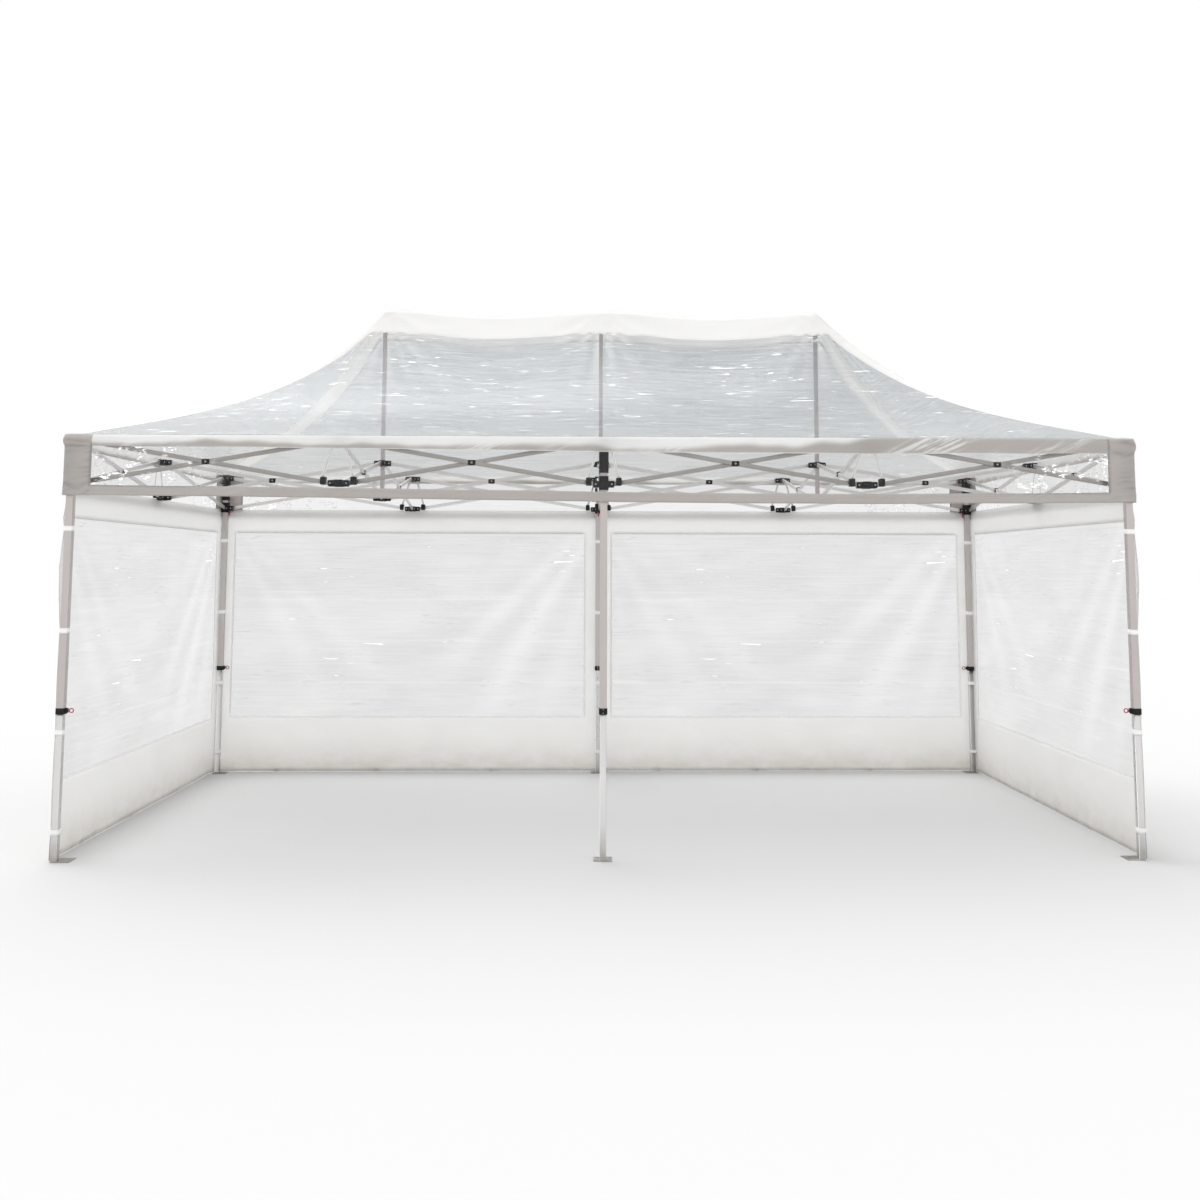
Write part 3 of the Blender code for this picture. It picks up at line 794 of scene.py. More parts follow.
@dataclass
class RoofCover:
    """The hipped clear cover, one cloth with white bands along its hips and ridge.

    A spot of a slope has a lane and a share: the lane runs from 0 to 1 over the left hip band, to 2 over the
    film and to 3 over the right hip band, and the share runs from 0 at the eave to 1 at the ridge.
    """

    plan: TentPlan
    kit: ShaderKit
    hip_band: float = 0.085
    ridge_share: float = 0.905
    thickness: float = 0.0008
    slack: float = 0.006
    pleat_height: float = 0.007
    pleat_reach: float = 0.34
    pleats: int = 15

    def half_width(self, side: Side, share: float) -> float:
        """Half the width of a slope at a share of the way up."""
        plan = self.plan
        if side.value[0] == 0:
            return plan.cover_x - (plan.cover_x - plan.bay) * share
        return plan.cover_y * (1 - share)

    def out(self, side: Side, share: float) -> float:
        """Distance of a level line of a slope from the middle of the plan."""
        plan = self.plan
        if side.value[0] == 0:
            return plan.cover_y * (1 - share)
        return plan.cover_x - (plan.cover_x - plan.bay) * share

    def across(self, side: Side, lane: float, share: float) -> float:
        """Place along a slope's level line of a lane."""
        half = self.half_width(side, share)
        band = min(self.hip_band, half)
        if lane <= 1:
            return band * lane - half
        if lane <= 2:
            return (lane - 1.5) * 2 * (half - band)
        return half - band * (3 - lane)

    def pleating(self, x: float, y: float) -> float:
        """The pleats that run out from the peaks, where the cover hangs on its poles: 0 to about 1."""
        pleat = 0.0
        for peak in (-self.plan.bay, 0.0, self.plan.bay):
            away = math.hypot(x - peak, y)
            turn = math.atan2(y, x - peak)
            wave = 0.5 + 0.5 * math.cos(self.pleats * turn + 2.2 * ripple(2 * turn, peak, 1.0))
            pleat += wave * smooth(0.0, 0.05, away) * math.exp(-((away / self.pleat_reach) ** 2))
        return pleat

    def relief(self, x: float, y: float, share: float) -> float:
        """How far the slack cover stands off its mean surface, never inwards."""
        broad = 0.5 + 0.5 * ripple(0.8 * x, 1.9 * y, 3.1)
        fine = 0.5 + 0.5 * ripple(1.7 * x, 11.0 * share, 7.7 + math.copysign(1.0, y))
        loose = smooth(0.0, 0.07, share) * (1 - 0.6 * smooth(0.84, 0.93, share))
        return self.slack * loose * (0.6 * broad + 0.4 * fine) + self.pleat_height * self.pleating(x, y)

    def place(self, side: Side, lane: float, share: float) -> Vector:
        """Point of the cover's middle surface at a spot of a slope."""
        normal_x, normal_y = side.value
        along, away = self.across(side, lane, share), self.out(side, share)
        x = normal_x * away - normal_y * along
        y = normal_y * away + normal_x * along
        plan, step = self.plan, 0.002
        slope_x = (plan.roof_height(x + step, y) - plan.roof_height(x - step, y)) / (2 * step)
        slope_y = (plan.roof_height(x, y + step) - plan.roof_height(x, y - step)) / (2 * step)
        up = Vector((-slope_x, -slope_y, 1.0)).normalized()
        surface = Vector((x, y, plan.roof_height(x, y) - self.thickness / 2))
        return surface + up * self.relief(x, y, share)

    def finish(self, side: Side, lane: float, share: float) -> int:
        """White cloth on the hips and the ridge, film between them."""
        return 1 if lane < 1 or lane > 2 or share > self.ridge_share else 0

    def tone(self, side: Side, lane: float, share: float) -> float:
        """How strongly the pleats of the film show."""
        if self.finish(side, lane, share):
            return 0.0
        normal_x, normal_y = side.value
        along, away = self.across(side, lane, share), self.out(side, share)
        return min(1.0, self.pleating(normal_x * away - normal_y * along, normal_y * away + normal_x * along))

    def seam(self, side: Side, lane: float, share: float) -> tuple[float, float]:
        """Place along the nearest band and distance in from its edge."""
        length = math.hypot(self.plan.cover_y, self.plan.ridge - self.plan.eave)
        hip = self.hip_band * (1 - lane if lane < 1.5 else lane - 2) / math.sqrt(2)
        ridge = (share - self.ridge_share) * length * 1.3
        if ridge > hip:
            return self.across(side, lane, share), ridge
        return share * length, hip

    def build(self) -> bpy.types.Object:
        """Sews the four slopes into one cloth and dresses it."""
        length = math.hypot(self.plan.cover_y, self.plan.ridge - self.plan.eave)
        bm = bmesh.new()
        for side in Side:
            columns = 150 if side.value[0] == 0 else 76
            Patch(
                across=stations((0.0, 3), (1.0, columns), (2.0, 3), (3.0, 0)),
                up=stations((0.0, 44), (self.ridge_share, 8), (1.0, 0)),
                place=lambda lane, share, side=side: self.place(side, lane, share),
                measure=lambda lane, share, side=side: (self.across(side, lane, share), share * length),
                finish=lambda lane, share, side=side: self.finish(side, lane, share),
                seam=lambda lane, share, side=side: self.seam(side, lane, share),
                tone=lambda lane, share, side=side: self.tone(side, lane, share),
            ).add_to(bm)
        bmesh.ops.remove_doubles(bm, verts=bm.verts, dist=0.0002)
        bmesh.ops.dissolve_degenerate(bm, dist=0.00001, edges=bm.edges)
        cover = dressed(
            "clear_roof",
            bm,
            self.kit,
            (Finish.ROOF_FILM, Finish.CLOTH),
            stands_for=("roof_cover",),
            thickness=self.thickness,
        )
        return cover


@dataclass
class Valance:
    """The band that hangs from the eaves: white eave band, clear strip, hem band and corner patches.

    A place on it has a run, in metres round the tent from the front left corner, and a height.
    """

    plan: TentPlan
    kit: ShaderKit
    eave_band: float = 2.258
    hem_band: float = 2.040
    patch: float = 0.157
    thickness: float = 0.0008
    corner: float = 0.012
    bulge: float = 0.011
    wrinkle: float = 0.0035
    wave: float = 0.009
    pucker: float = 0.005
    pucker_pitch: float = 0.036
    hem_proud: float = 0.002
    hem_lift: float = 0.014
    slack_at: float = 4.2
    slack_reach: float = 2.6
    slack: float = 0.036
    shade_from: float = 3.9

    def sides(self) -> list[tuple[Side, float, float]]:
        """Each side with the run at which it starts and its length."""
        listed, start = [], 0.0
        for side in (Side.FRONT, Side.RIGHT, Side.BACK, Side.LEFT):
            length = 2 * (self.plan.cover_x if side.value[0] == 0 else self.plan.cover_y)
            listed.append((side, start, length))
            start += length
        return listed

    def locate(self, run: float) -> tuple[Side, float, float]:
        """The side that a run lies on, the place along it and its length."""
        total = sum(length for _, _, length in self.sides())
        run = run % total
        for side, start, length in self.sides():
            if run <= start + length:
                return side, run - start, length
        return Side.LEFT, 0.0, 2 * self.plan.cover_y

    @property
    def top(self) -> float:
        """Height of the valance's upper edge."""
        return self.plan.eave + self.plan.cloth / 2

    @property
    def bottom(self) -> float:
        """Height of the hem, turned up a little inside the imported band."""
        return self.plan.valance_bottom + self.hem_lift

    def drop(self, run: float, height: float) -> float:
        """How far the slack band hangs under its level line, most to the right of the front's middle."""
        lower = (self.top - height) / (self.top - self.eave_band)
        share = 0.8 * min(1.0, lower) + 0.2 * smooth(self.eave_band, self.hem_band, height)
        dip = math.exp(-(((run - self.slack_at) / self.slack_reach) ** 2))
        return share * (self.slack * dip + 0.003 * noise.noise(Vector((2.1 * run, 0.0, 12.0))))

    def eave_share(self, height: float) -> float:
        """0 at the lower edge of the eave band and under it, 1 at the eave."""
        return max(0.0, (height - self.eave_band) / (self.top - self.eave_band))

    def fold_line(self, run: float) -> float:
        """Share of the eave band's height at which its bulge turns under and its painted shade begins below, all of it
        in painted shade at the front's right end.
        """
        line = 0.36 + 0.30 * noise.noise(Vector((1.7 * run, 0.0, 4.0))) + 0.2 * noise.noise(Vector((7 * run, 0, 1)))
        front_right = smooth(self.shade_from, self.shade_from + 0.8, run) * (run < 2 * self.plan.cover_x)
        return line + 0.9 * front_right

    def gathers(self, run: float, height: float) -> tuple[float, float]:
        """The level wave of a corner patch's gathers, 0 to 1, and how deep they are there, 0 to 1."""
        turns = height / self.pucker_pitch + 1.3 * noise.noise(Vector((7 * run, 9 * height, 2.0)))
        depth = smooth(-0.35, 0.45, noise.noise(Vector((10 * run, 13 * height, 6.0))))
        return 0.5 + 0.5 * math.sin(2 * math.pi * turns), depth

    def puckers(self, run: float, height: float, to_corner: float) -> float:
        """The level gathers of a corner patch: 0 to 1, and 0 outside it."""
        wave, depth = self.gathers(run, height)
        gathered = wave * depth
        inside = 1 - smooth(self.patch - 0.03, self.patch + 0.02, to_corner)
        return gathered * inside * smooth(0.0, 0.03, to_corner)

    def relief(self, run: float, height: float, to_corner: float) -> float:
        """How far the valance stands off its mean plane, never inwards."""
        share = self.eave_share(height)
        slanted = noise.noise(Vector((6.0 * run + 9.0 * height, 34.0 * height - 5.0 * run, 2.0)))
        wrinkles = self.wrinkle * (0.5 + 0.5 * slanted) * smooth(0, 0.012, self.top - height)
        waves = 0.5 + 0.5 * noise.noise(Vector((3.3 * run, 1.5 * height, 5.0)))
        hang = smooth(0.0, 0.12, self.top - height) * smooth(0.0, 0.20, to_corner)
        roll = math.sin(math.pi * min(1.0, share)) if share > 0 else 0.0
        folds = self.pucker * self.puckers(run, height, to_corner)
        hem = self.hem_proud if height < self.hem_band else 0.0
        return wrinkles + self.wave * waves * hang + self.bulge * roll + folds + hem

    def tone(self, run: float, height: float) -> float:
        """Painted shade on the cloth under its bulge, in its gathers and under the hem's seam, and where the film is
        crinkled, the places of its painted glints.
        """
        _, along, length = self.locate(run)
        to_corner = min(along, length - along)
        if to_corner < self.patch:
            # Painted shade in the corner patch's gathers, broken by streaks.
            streak = 0.5 + 0.5 * noise.noise(Vector((6.0 * run, 55.0 * height, 3.0)))
            wave, depth = self.gathers(run, height)
            return 0.10 + 0.8 * (1 - wave) ** 2.5 * depth * (0.4 + 0.6 * streak)
        if height < self.hem_band:
            # Painted shade under the hem's seam, with random tone.
            under_seam = smooth(self.hem_band - 0.016, self.hem_band, height)
            return 0.45 * under_seam + 0.2 * (0.5 + 0.5 * noise.noise(Vector((3.0 * run, 60.0 * height, 8.0))))
        share = self.eave_share(height)
        if share <= 0:
            # Near the corners the strip film is crinkled and takes painted glints.
            return 1 - smooth(self.patch + 0.25, self.patch + 0.95, to_corner)
        # Painted shade under the eave band's bulge.
        return 1 - smooth(-0.25, 0.22, share - self.fold_line(run))

    def place(self, run: float, height: float) -> Vector:
        """Point of the valance's middle surface."""
        side, along, length = self.locate(run)
        normal_x, normal_y = side.value
        away = self.plan.cover_y if normal_x == 0 else self.plan.cover_x
        to_corner = min(along, length - along)
        rounding = self.corner * (1 - smooth(0.0, self.corner, to_corner)) * 0.3
        offset = along - length / 2
        x = normal_x * away - normal_y * offset
        y = normal_y * away + normal_x * offset
        outwards = self.relief(run, height, to_corner) - rounding - self.thickness / 2
        inwards = math.copysign(rounding + self.thickness / 2, offset) if to_corner < self.corner else 0.0
        level = height - self.drop(run, height)
        return Vector((x + normal_x * outwards + normal_y * inwards, y + normal_y * outwards - normal_x * inwards, level))

    def finish(self, run: float, height: float) -> int:
        """White cloth on the eave band, film under it, and a hem band and corner patches of white cloth darkened to
        beige by painted shade.
        """
        _, along, length = self.locate(run)
        if height < self.hem_band or min(along, length - along) < self.patch:
            return 2
        return 1 if height > self.eave_band else 0

    def seam(self, run: float, height: float) -> tuple[float, float]:
        """Place along the band and distance in from its edge."""
        return run, max(self.hem_band - height, height - self.eave_band)

    def build(self) -> bpy.types.Object:
        """Sews the band round the tent and dresses it."""
        marks: list[tuple[float, int]] = []
        for _, start, length in self.sides():
            middle = length - 2 * self.patch
            marks += [(start, 1), (start + 0.01, 8), (start + self.patch, round(middle / 0.019))]
            marks += [(start + length - self.patch, 8), (start + length - 0.01, 1)]
        marks.append((sum(length for _, _, length in self.sides()), 0))
        bm = bmesh.new()
        Patch(
            across=stations(*marks),
            up=stations((self.bottom, 5), (self.hem_band, 18), (self.eave_band, 12), (self.top, 0)),
            place=self.place,
            measure=lambda run, height: (run, height),
            finish=self.finish,
            seam=self.seam,
            tone=self.tone,
        ).add_to(bm)
        bmesh.ops.remove_doubles(bm, verts=bm.verts, dist=0.0002)
        band = dressed(
            "valance_band",
            bm,
            self.kit,
            (Finish.STRIP_FILM, Finish.CLOTH, Finish.BAND),
            stands_for=("valance",),
            thickness=self.thickness,
        )
        return band


@dataclass
class SideWall:
    """One wall panel: a white cloth frame with a clear window, dark peg loops along its hem.

    A place on it has a run, in metres from its left end seen from outside, and a height.
    """

    plan: TentPlan
    kit: ShaderKit
    node: str
    side: Side
    start: float
    end: float
    corners: tuple[bool, bool]
    thickness: float = 0.0008
    fold_heights: tuple[float, ...] = (1.34, 1.01, 0.69)
    strap_heights: tuple[float, ...] = (1.80, 1.24, 0.69, 0.16)
    edge_bulge: float = 0.016
    edge_ruffle: float = 0.006
    drawn_back: float = 0.034
    hem_drop: float = 0.009
    loops: tuple[float, ...] = (0.28, 0.58, 0.84)
    loop_size: tuple[float, float] = (0.025, 0.024)
    loop_sewn: float = 0.015
    loop_clear: float = 0.0020

    @property
    def length(self) -> float:
        """Length of the panel."""
        return abs(self.end - self.start)

    def away(self) -> float:
        """Distance of the panel's inner face from the middle of the plan."""
        return self.plan.wall_y if self.side.value[0] == 0 else self.plan.wall_x

    def edge_wave(self, height: float) -> float:
        """How slack a free edge is between the straps that hold it, 0 at a strap and 1 between two."""
        held = (2.045, *self.strap_heights, -0.05)
        for upper, lower in zip(held, held[1:]):
            if lower <= height <= upper:
                return math.sin(math.pi * (height - lower) / (upper - lower))
        return 0.0

    @property
    def seed(self) -> float:
        """A number of the panel's own, which sets its creases apart from the others'."""
        return 11.0 * self.side.value[0] + 5.0 * self.side.value[1] + 0.7 * self.start

    def pull(self, run: float, height: float) -> float:
        """The folds that fan down from the panel's upper corners to the opposite side: 0 to 1."""
        plan, total = self.plan, 0.0
        for distance, strength in ((run, 1.0), (self.length - run, 0.45)):
            down = plan.wall_top + 0.1 - height
            turn = math.atan2(down, distance + 0.12)
            reach = math.hypot(down, distance)
            fan = 0.5 + 0.5 * math.sin(26.0 * turn + 1.5 * ripple(3 * turn, 0.6 * reach, self.seed))
            held = math.exp(-(((turn - 0.95) / 0.34) ** 2)) * smooth(0.15, 0.6, reach) * (1 - smooth(1.5, 2.1, reach))
            total += strength * held * fan**1.5
        return total

    def ladder(self, run: float, height: float) -> float:
        """Faint level lines that come and go over the film: 0 to 1."""
        lines = 0.5 + 0.5 * noise.noise(Vector((1.1 * run, 21.0 * height, self.seed + 3)))
        shown = smooth(0.0, 0.35, noise.noise(Vector((1.3 * run, 1.9 * height, self.seed + 6))))
        return smooth(0.45, 0.8, lines) * shown

    def tone(self, run: float, height: float) -> float:
        """How strongly a fold of the film shows, or how deep the cloth's painted shade is near the ground."""
        if self.in_window(run, height):
            folds = sum(math.exp(-abs(height - fold) / 0.006) for fold in self.fold_heights)
            kept = 0.5 + 0.5 * ripple(2.0 * run, height, self.seed + 9)
            return min(1.0, 0.9 * self.pull(run, height) + 0.5 * self.ladder(run, height) + 0.8 * folds * kept)
        # Painted shade on the cloth, deeper towards the ground.
        clouds = 0.8 + 0.4 * ripple(1.5 * run, 2.5 * height, self.seed + 1)
        return 0.06 * clouds * (1 - smooth(0.25, 0.75, height))

    def drawn(self, run: float) -> float:
        """Run of a place once the straps draw the panel's free edge back behind the leg."""
        margin = self.plan.window_margin
        kept = (margin - self.drawn_back) / margin
        if not self.corners[0] and run < margin:
            return margin - kept * (margin - run)
        if not self.corners[1] and self.length - run < margin:
            return self.length - margin + kept * (margin - self.length + run)
        return run

    def relief(self, run: float, height: float) -> float:
        """How far the slack panel stands off its mean plane, never inwards."""
        left, right = run, self.length - run
        seed = self.seed
        broad = 0.5 + 0.5 * ripple(1.3 * run, 0.9 * height, seed)
        middle = 0.5 + 0.5 * ripple(4.5 * run + 1.5 * height, 3.1 * height, seed + 4)
        sheet = 0.012 * broad + 0.004 * middle
        folds = sum(math.exp(-abs(height - fold) / 0.010) for fold in self.fold_heights)
        crease = 0.0035 * folds * (0.5 + 0.5 * ripple(2.0 * run, height, seed + 9))
        tension = 0.006 * self.pull(run, height)
        hem = 0.010 * (0.5 + 0.5 * ripple(3.3 * run, 0.3, seed + 2)) * (1 - smooth(0.0, 0.35, height))
        total = sheet + crease + tension + hem
        for distance, corner in zip((left, right), self.corners):
            if corner:
                total *= smooth(0.0, 0.12, distance)
            else:
                total *= 0.15 + 0.85 * smooth(0.0, 0.10, distance)
                ruffle = 0.5 + 0.5 * noise.noise(Vector((0.0, 11.0 * height, self.seed + 5)))
                slack = 0.25 + 0.75 * smooth(1.05, 1.55, height)
                total += slack * self.edge_bulge * self.edge_wave(height) * math.exp(-distance / 0.07)
                total += slack * self.edge_ruffle * ruffle * math.exp(-distance / 0.03)
        return total * (1 - smooth(1.80, 1.95, height)) + 0.0004

    def place(self, run: float, height: float) -> Vector:
        """Point of the panel's middle surface."""
        normal_x, normal_y = self.side.value
        offset = self.start + self.drawn(run)
        away = self.away() + self.thickness / 2 + self.relief(run, height)
        return Vector((normal_x * away - normal_y * offset, normal_y * away + normal_x * offset, height))

    def in_window(self, run: float, height: float) -> bool:
        """Whether a place lies in the window."""
        margin = self.plan.window_margin
        return margin < run < self.length - margin and self.plan.window_bottom < height < self.plan.window_top

    def seam(self, run: float, height: float) -> tuple[float, float]:
        """Place along the frame's nearest edge and distance in from it."""
        margin = self.plan.window_margin
        sideways = max(margin - run, run - (self.length - margin))
        upright = max(self.plan.window_bottom - height, height - self.plan.window_top)
        return (height, sideways) if sideways > upright else (run, upright)

    def patch(self, window: bool) -> Patch:
        """The stations and the finish of the frame or of the window."""
        plan, margin = self.plan, self.plan.window_margin
        columns = round((self.length - 2 * margin) / 0.026)
        along = [(margin, columns), (self.length - margin, 5)]
        up: list[tuple[float, int]] = [(plan.window_bottom, 8)]
        for fold in sorted(self.fold_heights):
            up += [(fold - 0.018, 4), (fold + 0.018, 9)]
        up.append((plan.window_top, 6))
        if not window:
            along = [(0.0, 5), *along, (self.length, 0)]
            up = [(plan.wall_bottom - self.hem_drop, 13), *up, (plan.wall_top, 0)]
        return Patch(
            across=stations(*along),
            up=stations(*up),
            place=self.place,
            measure=lambda run, height: (run, height),
            finish=lambda run, height: 0 if self.in_window(run, height) == window else None,
            seam=self.seam,
            tone=self.tone,
        )

    def build_loops(self) -> bpy.types.Object:
        """Short webbing loops under the hem, which take the ground pegs."""
        bm = bmesh.new()
        normal_x, normal_y = self.side.value
        outwards = Vector((normal_x, normal_y, 0.0))
        tangent = Vector((-normal_y, normal_x, 0.0))
        width, drop = self.loop_size
        for share in self.loops:
            top = self.place(share * self.length, self.plan.wall_bottom + self.loop_sewn) + outwards * self.loop_clear

            def hang(across: float, turn: float, top: Vector = top) -> Vector:
                """Point of one loop, from its sewn end down and out."""
                swell = 0.5 * drop * math.sin(math.pi * turn)
                return top + tangent * across + outwards * swell - Vector((0, 0, drop * turn))

            Patch(
                across=stations((-width / 2, 2), (width / 2, 0)),
                up=stations((0.0, 12), (1.0, 0)),
                place=hang,
                measure=lambda across, turn: (across, drop * turn),
                finish=lambda across, turn: 0,
                seam=lambda across, turn: (across, drop * turn),
            ).add_to(bm)
        return dressed(
            self.node + "_peg_loops", bm, self.kit, (Finish.LOOP,), thickness=0.0016
        )

    def build(self) -> None:
        """Makes the cloth frame, the window and the peg loops."""
        frame = bmesh.new()
        self.patch(window=False).add_to(frame)
        cloth = dressed(
            self.node + "_cloth",
            frame,
            self.kit,
            (Finish.CLOTH,),
            stands_for=(self.node,),
            thickness=self.thickness,
        )
        window_node = self.node.replace("wall", "window")
        film = bmesh.new()
        self.patch(window=True).add_to(film)
        clear_film = dressed(
            window_node + "_film",
            film,
            self.kit,
            (Finish.FILM,),
            stands_for=(window_node,),
            thickness=self.thickness,
        )
        self.build_loops()


@dataclass
class Casting:
    """Moulded joint castings: rounded arms with sunk side panels, held by steel bolts."""

    arm_width: float = 0.040
    arm_height: float = 0.036
    reach: float = 0.058
    body: float = 0.054
    bevel: float = 0.005
    bolt_in: float = 0.013
    bolt_radius: float = 0.0055
    bolt_height: float = 0.003

    def add_panels(
        self, bm: bmesh.types.BMesh, faces: Iterable[bmesh.types.BMFace], least: float, depth: float = 0.0016
    ) -> None:
        """Sinks a panel into each large flat side."""
        chosen = [face for face in faces if face.is_valid and face.calc_area() > least and abs(face.normal.z) < 0.3]
        bmesh.ops.inset_individual(bm, faces=chosen, thickness=0.004, depth=-depth, use_even_offset=True)

    def add_arm(self, bm: bmesh.types.BMesh, at: Vector, direction: tuple[int, int], height: float) -> None:
        """Adds one arm, from the middle of the joint out to its rounded end."""
        before = set(bm.faces)
        run = Vector((direction[0], direction[1], 0.0))
        turn = Matrix.Rotation(math.atan2(direction[1], direction[0]), 3, "Z")
        centre = Vector((at.x, at.y, height)) + run * (self.reach / 2)
        add_block(bm, (self.reach, self.arm_width, self.arm_height), centre, self.bevel, turn)
        self.add_panels(bm, set(bm.faces) - before, 0.0008)

    def add_body(self, bm: bmesh.types.BMesh, at: Vector, height: float) -> None:
        """Adds the block in the middle of a joint."""
        add_block(bm, (self.body, self.body, self.arm_height + 0.004), (at.x, at.y, height), self.bevel)

    def add_bolts(self, bm: bmesh.types.BMesh, at: Vector, direction: tuple[int, int], height: float) -> None:
        """Adds the heads of the bolt across an arm's end."""
        run = Vector((direction[0], direction[1], 0.0))
        side = Vector((-direction[1], direction[0], 0.0))
        for sign in (1, -1):
            spot = Vector((at.x, at.y, height)) + run * (self.reach - self.bolt_in) + side * sign * self.arm_width / 2
            add_stud(bm, spot, side * sign, self.bolt_radius, self.bolt_height)


@dataclass
class Truss:
    """The scissor bars, castings and rivets of one truss line."""

    plan: TentPlan
    kit: ShaderKit
    node: str
    units: Sequence[tuple[tuple[float, float], tuple[float, float]]]
    joints: Sequence[tuple[tuple[float, float], Sequence[tuple[int, int]]]]
    bar_finish: Finish = Finish.BRIGHT_BAR
    casting: Casting = field(default_factory=Casting)
    bar_height: float = 0.025
    bar_thickness: float = 0.012
    bar_offset: float = 0.0068
    bar_bevel: float = 0.0016
    lap: float = 0.014
    pivot: Point = (0.045, 0.030, 0.030)
    pivot_panel: float = 0.0008

    def ends(self, unit: tuple[tuple[float, float], tuple[float, float]]) -> tuple[Vector, Vector]:
        """Plan points at which a unit's bars meet the middle lines of the castings' ends."""
        start, end = Vector((*unit[0], 0.0)), Vector((*unit[1], 0.0))
        along = (end - start).normalized()
        inset = self.casting.reach - self.lap
        return start + along * inset, end - along * inset

    def add_bar(self, bm: bmesh.types.BMesh, low: Vector, high: Vector, side: int) -> None:
        """Adds one bar between two points, shifted off the truss plane."""
        run = high - low
        flat = math.hypot(run.x, run.y)
        turn = Matrix.Rotation(math.atan2(run.y, run.x), 3, "Z") @ Matrix.Rotation(-math.atan2(run.z, flat), 3, "Y")
        shift = turn @ Vector((0, side * self.bar_offset, 0))
        centre = (low + high) / 2 + shift
        add_block(bm, (run.length, self.bar_thickness, self.bar_height), centre, self.bar_bevel, turn)

    def build(self) -> None:
        """Makes the bars, the castings and the rivets."""
        bars, castings, rivets = bmesh.new(), bmesh.new(), bmesh.new()
        low, high = self.plan.low_joint, self.plan.high_joint
        middle_height = (low + high) / 2
        for unit in self.units:
            a, b = self.ends(unit)
            first = (Vector((a.x, a.y, low)), Vector((b.x, b.y, high)))
            second = (Vector((a.x, a.y, high)), Vector((b.x, b.y, low)))
            self.add_bar(bars, *first, 1)
            self.add_bar(bars, *second, -1)
            along = (b - a).normalized()
            side = Vector((-along.y, along.x, 0.0))
            middle = (a + b) / 2 + Vector((0, 0, middle_height))
            turn = Matrix.Rotation(math.atan2(along.y, along.x), 3, "Z")
            before = set(castings.faces)
            add_block(castings, self.pivot, middle, 0.004, turn)
            self.casting.add_panels(castings, set(castings.faces) - before, 0.0005, self.pivot_panel)
            for sign in (1, -1):
                add_stud(rivets, middle + side * sign * (self.pivot[1] / 2 - 0.0012), side * sign, 0.0065, 0.004)
        for at, directions in self.joints:
            spot = Vector((*at, 0.0))
            for height in (low, high):
                self.casting.add_body(castings, spot, height)
                for direction in directions:
                    self.casting.add_arm(castings, spot, direction, height)
                    self.casting.add_bolts(rivets, spot, direction, height)
        dressed(self.node + "_bars", bars, self.kit, (self.bar_finish,), stands_for=(self.node,))
        dressed(self.node + "_castings", castings, self.kit, (Finish.NYLON,))
        dressed(self.node + "_rivets", rivets, self.kit, (Finish.STEEL,))


